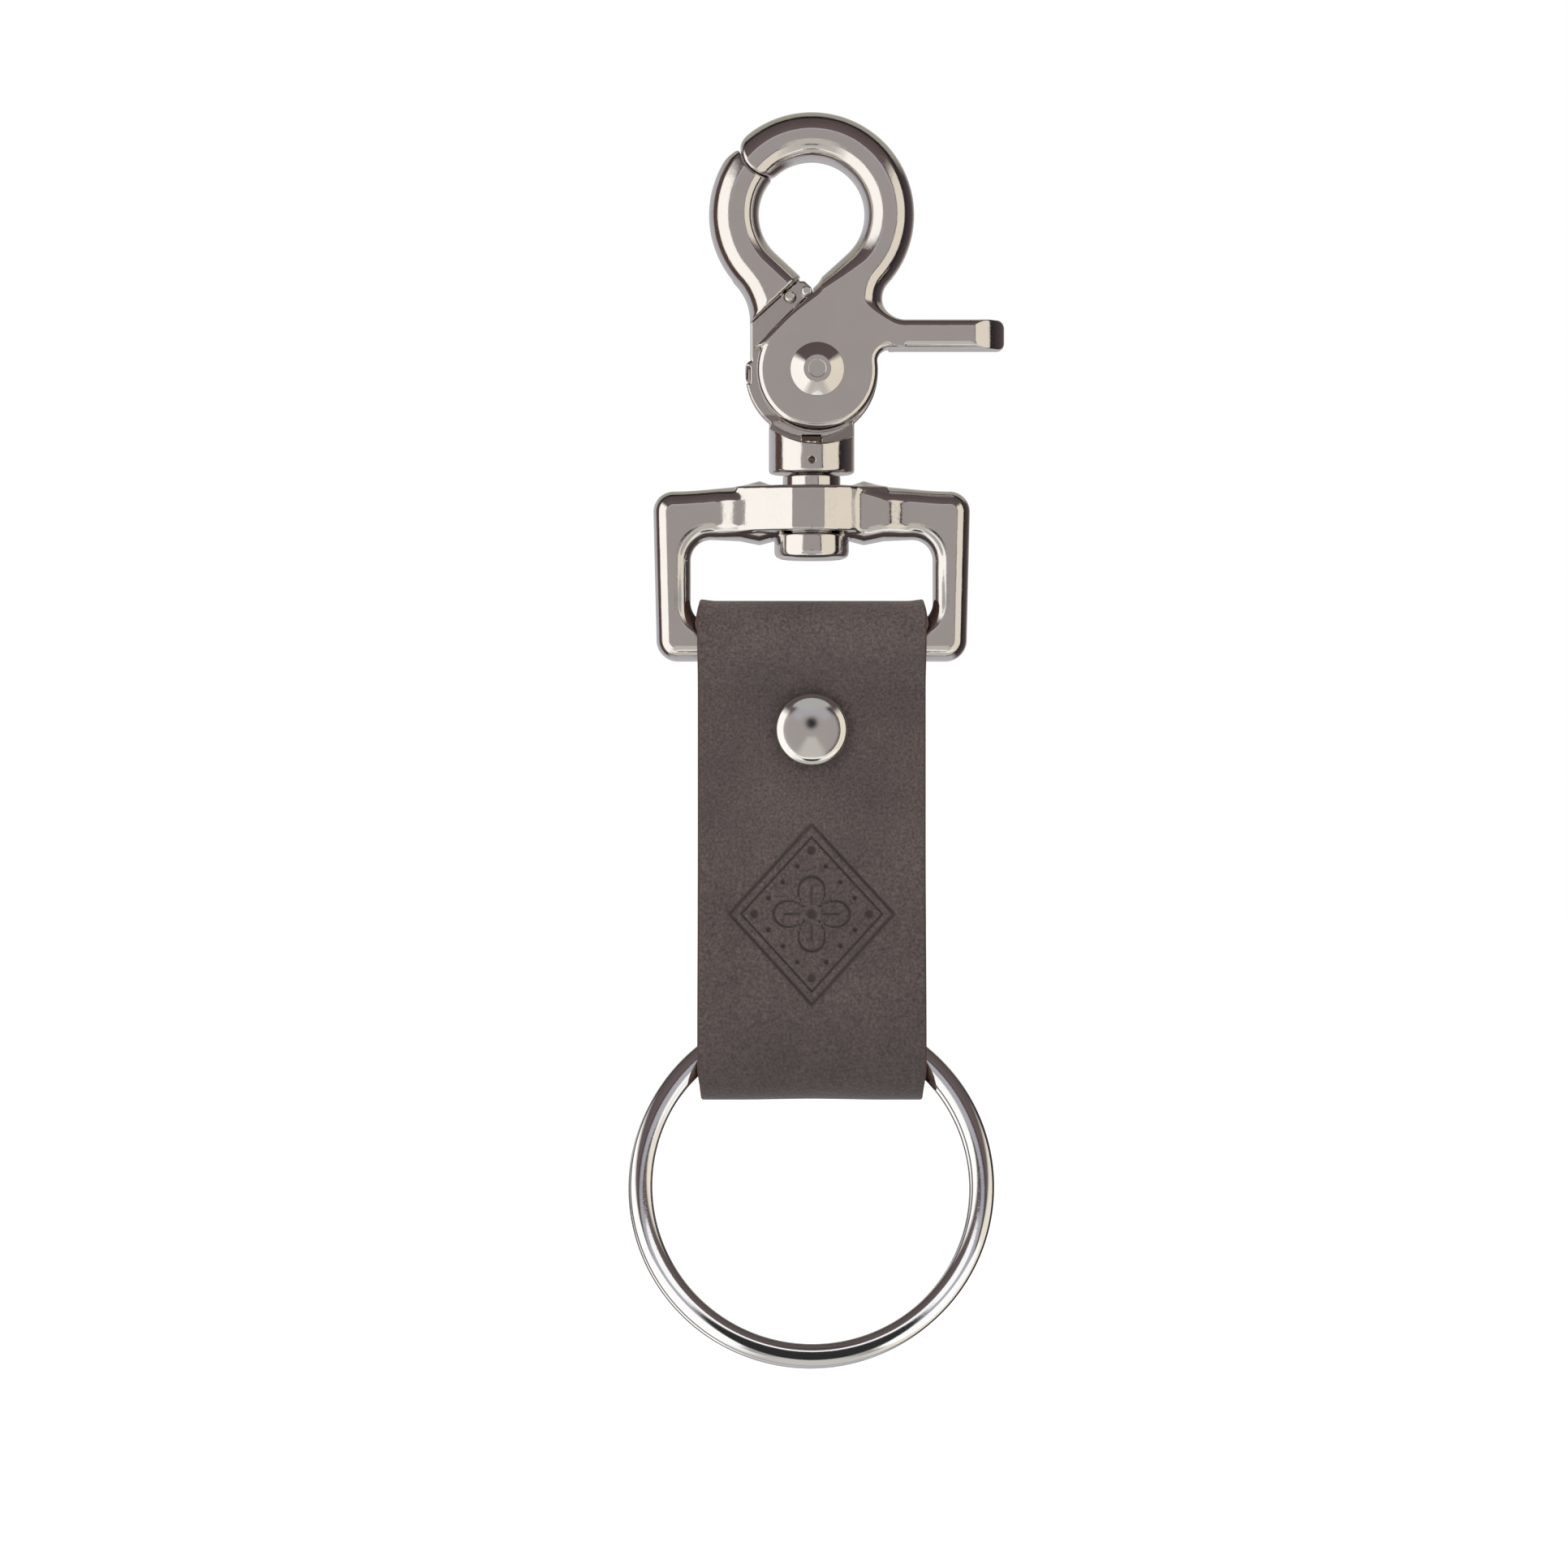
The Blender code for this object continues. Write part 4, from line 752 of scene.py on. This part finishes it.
def ornament(x, down):
    """Depth share of the pressed ornament: a double diamond border, a four-petal flower in its middle,
    a small pip in each corner and a row of dots along the inner border."""
    wide, tall = 9.0, 10.0
    pip_x, pip_z = 6.3, 7.1
    scale = wide * tall / math.hypot(wide, tall)
    diamond = (np.abs(x) / wide + np.abs(down) / tall - 1.0) * scale
    depth = np.maximum(groove(diamond, 0.30), groove(diamond + 0.95, 0.16))
    reach, turn = np.hypot(x, down), np.arctan2(down, x)
    petal = reach - 3.9 * np.abs(np.cos(2 * turn)) ** 0.55 - 0.25
    depth = np.maximum(depth, groove(petal, 0.26))
    vein = reach * np.sin(np.mod(turn + math.pi / 4, math.pi / 2) - math.pi / 4)
    depth = np.maximum(depth, groove(vein, 0.16) * ease(1.0, 1.4, reach) * ease(3.4, 2.9, reach))
    pips = [(sx * pip_x, sz * pip_z, 0.32, 0.26) for sx, sz in ((1, 0), (-1, 0), (0, 1), (0, -1))]
    dots = [(sx * pip_x * share, sz * pip_z * (1 - share), 0.14, 0.22)
            for share in (0.25, 0.5, 0.75) for sx in (1, -1) for sz in (1, -1)]
    for place_x, place_z, radius, half_width in ((0.0, 0.0, 0.35, 0.35), *pips, *dots):
        past = np.hypot(x - place_x, down - place_z) - radius
        depth = np.maximum(depth, groove(np.maximum(past, 0.0), half_width))
    return depth


def make_strap():
    """The leather strip: its section carried along the folded middle line, flared at the upper fold,
    pressed by the caps and by the ornament's stamp."""
    run, y, z, stamp = strap_rows()
    x, v, edged = strip_section()
    tangent = np.stack([np.gradient(y, run), np.gradient(z, run)], 1)
    tangent /= np.linalg.norm(tangent, axis=1)[:, None]
    out_y, out_z = tangent[:, 1][:, None], -tangent[:, 0][:, None]
    run, y, z = run[:, None], y[:, None], z[:, None]
    x, v = x[None, :], v[None, :]
    side = np.abs(x)
    at_bar = np.exp(-((np.hypot(y, z - BAR_Z) - BAR_FOLD) / 0.6) ** 2) * ease(BAR_Z - 3.5, BAR_Z + 1.5, z)
    at_ring = ease(RING_FOLD_Z - 1.0, RING_FOLD_Z - 4.0, z)
    crest = np.exp(-((z - BAR_Z - BAR_FOLD) / 0.7) ** 2)
    flank = ease(BAR_Z + 2.4, BAR_Z + 0.6, z) * (0.5 - 0.5 * v)
    flare = at_bar * (0.20 - 0.16 * v - 0.24 * crest - 0.42 * flank) - 0.36 * at_ring * (0.7 + 0.3 * v)
    stretch = 1.0 + flare * ease(7.0, 12.5, side) / STRAP_HALF
    down = run - stamp
    near = (v > 0.5) & (y < 0) & (side < 10) & (np.abs(down) < 11)
    pressed = np.where(near, ornament(x, down), 0.0)
    curl = 0.18 * at_bar * np.maximum(v, 0.0) * ease(10.6, 12.6, side)
    sag = 0.10 * at_ring * ease(8.0, 0.0, side)
    from_rivet = np.hypot(x, z - RIVET_Z)
    dent = 0.14 * ease(5.6, 3.9, from_rivet) * (v > 0.5) * (np.abs(y - STACK_Y) > 1.0)
    lift = v * LEATHER / 2 - STAMP_DEPTH * pressed + curl - sag - dent
    points = np.stack(np.broadcast_arrays(x * stretch, y + out_y * lift, z + out_z * lift), -1)
    shape = points.shape[:2]
    piece = finish_piece("leather_strap_grain", points.reshape(-1, 3), tube_faces(*shape),
                         "strap", "leather_strap")
    ends = np.zeros((shape[0], 1))
    ends[[0, -1]] = 1.0
    # The fold layer marks the upper fold, for its coarser creases and its painted highlight.
    layers = {"burnish": np.maximum(edged, ends) * np.where(np.abs(v) > 0.97, 0.35, 1.0),
              "flesh": (v < -0.9) & (edged == 0), "fold": at_bar, "pressed": pressed}
    for name, values in layers.items():
        write_layer(piece, name, np.broadcast_to(values, shape))
    return piece


def new_material(name):
    """A node material, its node tree and its Principled shader."""
    material = bpy.data.materials.new(name)
    material.use_nodes = True
    tree = material.node_tree
    return material, tree, tree.nodes["Principled BSDF"]


def fill(tree, node, inputs):
    """Give a node's sockets their values or links."""
    for key, value in inputs.items():
        if isinstance(value, bpy.types.NodeSocket):
            tree.links.new(value, node.inputs[key])
        else:
            node.inputs[key].default_value = value


def add_node(tree, kind, inputs=None, **settings):
    """A shader node with its settings and its sockets' values or links."""
    node = tree.nodes.new("ShaderNode" + kind)
    for key, value in settings.items():
        setattr(node, key, value)
    fill(tree, node, inputs or {})
    return node


def calculate(tree, operation, *values):
    """One step of arithmetic on values or links."""
    return add_node(tree, "Math", dict(enumerate(values)), operation=operation).outputs[0]


def spread(tree, value, low, high, start=(0.0, 1.0), **settings):
    """A value carried from one range onto another and held at both ends."""
    inputs = {"Value": value, "From Min": start[0], "From Max": start[1], "To Min": low, "To Max": high}
    return add_node(tree, "MapRange", inputs, **settings).outputs["Result"]


def attribute(tree, name):
    """The number that a piece's points carry under a name."""
    return add_node(tree, "Attribute", attribute_name=name).outputs["Fac"]


def noise(tree, place, scale, detail, **more):
    """A noise pattern over a place."""
    inputs = {"Vector": place, "Scale": scale, "Detail": detail, **more}
    return add_node(tree, "TexNoise", inputs).outputs["Fac"]


def bump(tree, height, strength, distance, **under):
    """A normal tilted by a pattern's slope, over another one's normal where that is given."""
    inputs = {"Height": height, "Strength": strength, "Distance": distance, **under}
    return add_node(tree, "Bump", inputs).outputs["Normal"]


def blend_colours(tree, factor, first, second, blend_type="MIX"):
    """Two colours blended by a factor."""
    first, second = [c if isinstance(c, bpy.types.NodeSocket) else (*c, 1.0) for c in (first, second)]
    inputs = {0: factor, 6: first, 7: second}
    return add_node(tree, "Mix", inputs, data_type="RGBA", blend_type=blend_type).outputs[2]


def ramp(tree, factor, stops):
    """The colour that a ramp with stops of (place, colour) gives a factor."""
    node = add_node(tree, "ValToRGB", {"Fac": factor})
    elements = node.color_ramp.elements
    while len(elements) < len(stops):
        elements.new(0.5)
    for element, (place, colour) in zip(elements, stops):
        element.position = place
        element.color = (*colour, 1.0)
    return node.outputs["Color"]


def grey(level):
    """A colour with three equal parts."""
    return (level, level, level)


def plated_metal(name, colour, roughness, wave, pits):
    """Plated metal: a slightly wavy cast surface under the plate, with fine pits and hazy patches, and painted
    shade in a casting's hollows. The waves' and pits' heights are in metres."""
    material, tree, shader = new_material(name)
    place = add_node(tree, "TexCoord").outputs["Object"]
    waves = noise(tree, place, 620.0, 2.0, Roughness=0.45)
    specks = noise(tree, place, 5200.0, 3.0)
    specks = ramp(tree, specks, [(0.36, grey(0.0)), (0.44, grey(1.0))])
    haze = noise(tree, place, 260.0, 4.0)
    tint = ramp(tree, haze, [(0.3, [c * 0.96 for c in colour]), (0.7, colour)])
    # Painted shade: the plate's colour dimmed to about a fifth, blended in by the casting's layer of painted
    # hollow shade.
    hollow = [c * share for c, share in zip(colour, (0.22, 0.17, 0.15))]
    wavy = bump(tree, waves, 1.0, wave)
    fill(tree, shader, {"Base Color": blend_colours(tree, attribute(tree, "painted_hollow_shade"), tint, hollow),
                        "Roughness": spread(tree, haze, roughness * 0.8, roughness * 1.3, (0.3, 0.7)),
                        "Normal": bump(tree, specks, 1.0, pits, Normal=wavy), "Metallic": 1.0})
    return material


def taupe_leather():
    """Full-grain leather: fine pebbles broken by creases, coarser on the upper fold, a darker stamped
    ornament, burnished red-brown edges and a plain fibrous inner side, with a painted highlight on the
    upper fold and painted shade towards the strip's bottom."""
    material, tree, shader = new_material("taupe_leather")
    place = add_node(tree, "TexCoord").outputs["Object"]
    grain = add_node(tree, "TexVoronoi", {"Vector": place, "Scale": 2900.0, "Randomness": 1.0})
    fine = noise(tree, place, 3200.0, 4.0, Roughness=0.7)
    creases = noise(tree, place, 900.0, 5.0, Roughness=0.6, Distortion=0.8)
    fold = attribute(tree, "fold")
    tone = ramp(tree, noise(tree, place, 130.0, 3.0),
                [(0.25, (0.056, 0.0425, 0.040)), (0.75, (0.076, 0.0565, 0.0525))])
    mottle = ramp(tree, fine, [(0.34, grey(0.56)), (0.68, grey(1.46))])
    patches = ramp(tree, creases, [(0.36, grey(0.955)), (0.62, grey(1.045))])
    level = add_node(tree, "SeparateXYZ", {"Vector": place}).outputs["Z"]
    # Painted shade: the strip's colour falls from 1.0 to 0.8 between 86 and 94 mm below the eye, over the lower
    # fold.
    foot = spread(tree, level, 0.80, 1.0, (-0.094, -0.086))
    # Painted highlight: the upper fold up to 12% lighter where the fold layer is.
    for factor in (mottle, patches, calculate(tree, "MULTIPLY", foot, spread(tree, fold, 1.0, 1.12))):
        tone = blend_colours(tree, 1.0, tone, factor, "MULTIPLY")
    stamped, burnished, fibrous = (0.034, 0.026, 0.024), (0.060, 0.024, 0.016), (0.110, 0.062, 0.042)
    for name, colour in (("pressed", stamped), ("burnish", burnished), ("flesh", fibrous)):
        tone = blend_colours(tree, attribute(tree, name), tone, colour)
    pebbles = bump(tree, grain.outputs["Distance"], 0.6, 0.00006)
    pores = bump(tree, fine, 0.8, 0.00005, Normal=pebbles)
    wrinkles = bump(tree, creases, spread(tree, fold, 0.15, 0.75), 0.00022, Normal=pores)
    fill(tree, shader, {"Base Color": tone, "Roughness": spread(tree, fine, 0.46, 0.60, (0.3, 0.7)),
                        "Normal": wrinkles, "Specular IOR Level": 0.32, "Sheen Weight": 0.08,
                        "Sheen Roughness": 0.5})
    return material


def studio_world():
    """The studio by direction: pale walls with dark gaps between them, seen by the metal. The angle off the
    way to the viewer runs along four ramps, for right, left, up and down, blended by the way round it.
    Matt surfaces get plain soft light, and the background itself is white."""
    world = bpy.data.worlds.new("studio")
    bpy.context.scene.world = world
    world.use_nodes = True
    tree = world.node_tree
    tree.nodes.clear()
    far, lighter, cream, bright = (0.44, 0.41, 0.40), (0.66, 0.64, 0.60), (1.00, 0.93, 0.80), (1.35, 1.33, 1.28)
    black, brown, dark, olive = (0.02, 0.015, 0.02), (0.11, 0.07, 0.06), (0.10, 0.08, 0.08), (0.42, 0.40, 0.34)
    lavender, pale, warm = (0.52, 0.51, 0.56), (0.60, 0.60, 0.62), (0.36, 0.33, 0.31)
    umber, cool = (0.16, 0.12, 0.12), (0.50, 0.48, 0.52)
    x, y, z = add_node(tree, "SeparateXYZ", {"Vector": add_node(tree, "TexCoord").outputs["Generated"]}).outputs
    angle = calculate(tree, "ARCCOSINE", calculate(tree, "MULTIPLY", y, -1.0))
    turn = calculate(tree, "DIVIDE", angle, math.pi)

    def bands(stops):
        """A ramp over the angle off the way to the viewer, from (degrees, colour) pairs."""
        return ramp(tree, turn, [(degrees / 180.0, colour) for degrees, colour in stops])

    right = bands([(27, far), (28, black), (30, black), (31, cream), (76, cream), (79, black),
                   (128, dark), (136, umber), (150, warm), (166, pale), (180, far)])
    left = bands([(28, far), (30, bright), (84, bright), (88, brown), (112, brown), (118, lavender),
                  (150, pale), (180, far)])
    up = bands([(14, far), (17, cool), (25, cool), (27, black), (30, umber), (90, dark), (97, black),
                (108, black), (112, olive), (140, olive), (160, pale), (180, far)])
    down = bands([(6, far), (8, lighter), (84, lighter), (86, brown), (90, brown), (92, lavender),
                  (150, pale), (180, far)])
    way = add_node(tree, "CombineXYZ", {"X": x, "Z": z}).outputs[0]
    way = add_node(tree, "VectorMath", {0: way}, operation="NORMALIZE").outputs[0]
    way_x, _, way_z = add_node(tree, "SeparateXYZ", {"Vector": way}).outputs
    room = blend_colours(tree, spread(tree, way_x, 0.0, 1.0, (-0.2, 0.2)), left, right)
    room = blend_colours(tree, spread(tree, way_z, 0.0, 1.0, (-0.78, -0.93)), room, down)
    room = blend_colours(tree, spread(tree, way_z, 0.0, 1.0, (0.50, 0.68)), room, up)
    path = add_node(tree, "LightPath").outputs
    height = spread(tree, z, 0.62, 0.98, (-1.0, 1.0))
    soft = add_node(tree, "CombineColor", {"Red": height, "Green": height, "Blue": height}).outputs[0]
    seen = blend_colours(tree, path["Is Glossy Ray"], soft, room)
    for ray in ("Is Camera Ray", "Is Transmission Ray"):
        seen = blend_colours(tree, path[ray], seen, grey(1.0))
    background = add_node(tree, "Background", {"Color": seen, "Strength": 1.0})
    add_node(tree, "OutputWorld", {"Surface": background.outputs[0]})


def flat_sheet(name, corners, axis, level, material):
    """A rectangle square to an axis, at a level along it and between two corners in the other two
    directions."""
    (a0, b0), (a1, b1) = corners
    places = [np.insert((a, b), axis, level) for a, b in ((a0, b0), (a1, b0), (a1, b1), (a0, b1))]
    mesh = bpy.data.meshes.new(name)
    mesh.from_pydata((np.array(places) * MM).tolist(), [], [(0, 1, 2, 3)])
    mesh.materials.append(material)
    sheet = bpy.data.objects.new(name, mesh)
    bpy.context.scene.collection.objects.link(sheet)
    return sheet


def make_floor():
    """A plain white floor well under the ring, as wide as the studio."""
    half = 3000.0
    material, tree, shader = new_material("white_floor")
    fill(tree, shader, {"Base Color": (0.94, 0.94, 0.94, 1.0), "Roughness": 0.9, "Specular IOR Level": 0.0,
                        "Emission Color": (1.0, 1.0, 1.0, 1.0), "Emission Strength": 0.25})
    floor = flat_sheet("floor", ((-half, -half), (half, half)), 2, -175.0, material)
    floor.visible_glossy = False


def make_card(name, corners, level, brightness, soft):
    """A flat card before the fob that only the metal's reflections see, such as the camera's lens. Its
    corners are X and Z, and a soft card fades out from its middle to its rim."""
    (x0, z0), (x1, z1) = corners
    material, tree, _ = new_material(name)
    tree.nodes.clear()
    glow = add_node(tree, "Emission", {"Color": (*grey(brightness), 1.0), "Strength": 1.0})
    clear = add_node(tree, "BsdfTransparent")
    place = add_node(tree, "TexCoord").outputs["Object"]
    middle = (-(x0 + x1) / 2 * MM, -level * MM, -(z0 + z1) / 2 * MM)
    size = (2 / ((x1 - x0) * MM), 0.0, 2 / ((z1 - z0) * MM))
    for operation, value in (("ADD", middle), ("MULTIPLY", size)):
        place = add_node(tree, "VectorMath", {0: place, 1: value}, operation=operation).outputs[0]
    reach = add_node(tree, "VectorMath", {0: place}, operation="LENGTH").outputs["Value"]
    cover = spread(tree, reach, 1.0, 0.0, (1.0 - soft, 1.0), interpolation_type="SMOOTHSTEP")
    blend = add_node(tree, "MixShader", {0: cover, 1: clear.outputs[0], 2: glow.outputs[0]})
    add_node(tree, "OutputMaterial", {"Surface": blend.outputs[0]})
    card = flat_sheet(name, corners, 1, level, material)
    for ray in ("camera", "diffuse", "transmission", "shadow"):
        setattr(card, "visible_" + ray, False)


def make_cards():
    """The lens before the strap's top, pale boards before the ring's top and sides, a dark one before its
    foot, and a grey one before the cap."""
    make_card("lens_card", ((-10.2, -58.6), (10.2, -38.2)), -64.0, 0.02, 0.7)
    make_card("pale_card_middle", ((-24.0, -107.0), (24.0, -85.0)), -52.0, 1.2, 0.12)
    make_card("pale_card_left", ((-80.0, -148.0), (-14.0, -100.0)), -52.0, 1.25, 0.12)
    make_card("pale_card_right", ((14.0, -148.0), (80.0, -100.0)), -52.5, 1.25, 0.12)
    make_card("dark_card", ((-19.5, -132.0), (19.5, -93.0)), -51.0, 0.03, 0.2)
    make_card("cap_card", ((-9.0, -51.5), (9.0, -38.0)), -14.0, 0.52, 0.2)


def make_lamps():
    """Two soft lamps aimed at the middle of the fob, one above in front and a weaker one to the left. Each
    is tilted by the angle between straight down and its aim, and then turned about Z to face it."""
    for name, place, power in (("top_lamp", (60.0, -160.0, 480.0), 1.6),
                               ("left_lamp", (-420.0, -300.0, 40.0), 0.5)):
        data = bpy.data.lights.new(name, "AREA")
        data.energy = power
        data.size = 0.3
        lamp = bpy.data.objects.new(name, data)
        lamp.location = [c * MM for c in place]
        aim = np.array([0.0, 0.0, -62.0]) - np.array(place)
        tilt = math.acos(-aim[2] / np.linalg.norm(aim))
        lamp.rotation_euler = (tilt, 0.0, math.atan2(aim[1], aim[0]) - math.pi / 2)
        bpy.context.scene.collection.objects.link(lamp)
        lamp.visible_glossy = False


def make_camera():
    """The photograph's view: a 100 mm lens level with the middle of the fob."""
    data = bpy.data.cameras.new("camera")
    data.lens = 100.0
    data.sensor_width = 36.0
    data.clip_start, data.clip_end = 0.01, 20.0
    camera = bpy.data.objects.new("camera", data)
    camera.location = (-3.04 * MM, -479.0 * MM, -62.56 * MM)
    camera.rotation_euler = (math.pi / 2, 0.0, 0.0)
    bpy.context.scene.collection.objects.link(camera)
    bpy.context.scene.camera = camera


def dress(pieces, material):
    """Give some pieces one material."""
    for piece in pieces:
        piece.data.materials.clear()
        piece.data.materials.append(material)


def main():
    """Build every shown piece, its finish and the studio."""
    bpy.context.scene.view_settings.view_transform = "Standard"
    make_camera()
    studio_world()
    make_floor()
    make_lamps()
    make_cards()
    step = 0.145
    castings = [cast_piece(node, field, body, step) for node, field, body in (
        ("body_jaw", body_field, "hook"), ("trigger_jaw", trigger_field, "trigger"),
        ("swivel_loop", loop_field, "loop"))]
    dress(castings, plated_metal("cast_nickel", (0.72, 0.69, 0.67), 0.09, 0.000020, 0.0000015))
    dress([make_pivot_rivet(), make_swivel_post()],
          plated_metal("turned_nickel", (0.73, 0.70, 0.68), 0.08, 0.000008, 0.000001))
    reach = LAYER_PITCH + LEATHER / 2 + 0.2
    caps = [make_cap("rivet_front_cap_domed", STACK_Y - reach, -1.0, "rivet_front_cap"),
            make_cap("rivet_rear_cap_domed", STACK_Y + reach, 1.0, "rivet_rear_cap")]
    dress(caps + [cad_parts["rivet_socket"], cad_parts["rivet_post"]],
          plated_metal("cap_nickel", (0.76, 0.74, 0.72), 0.09, 0.000002, 0.0000005))
    dress([make_ring()], plated_metal("ring_chrome", (0.80, 0.80, 0.80), 0.06, 0.000002, 0.0000005))
    dress(make_spring(), plated_metal("spring_steel", (0.80, 0.78, 0.75), 0.16, 0.000002, 0.000001))
    dress([make_strap()], taupe_leather())


main()
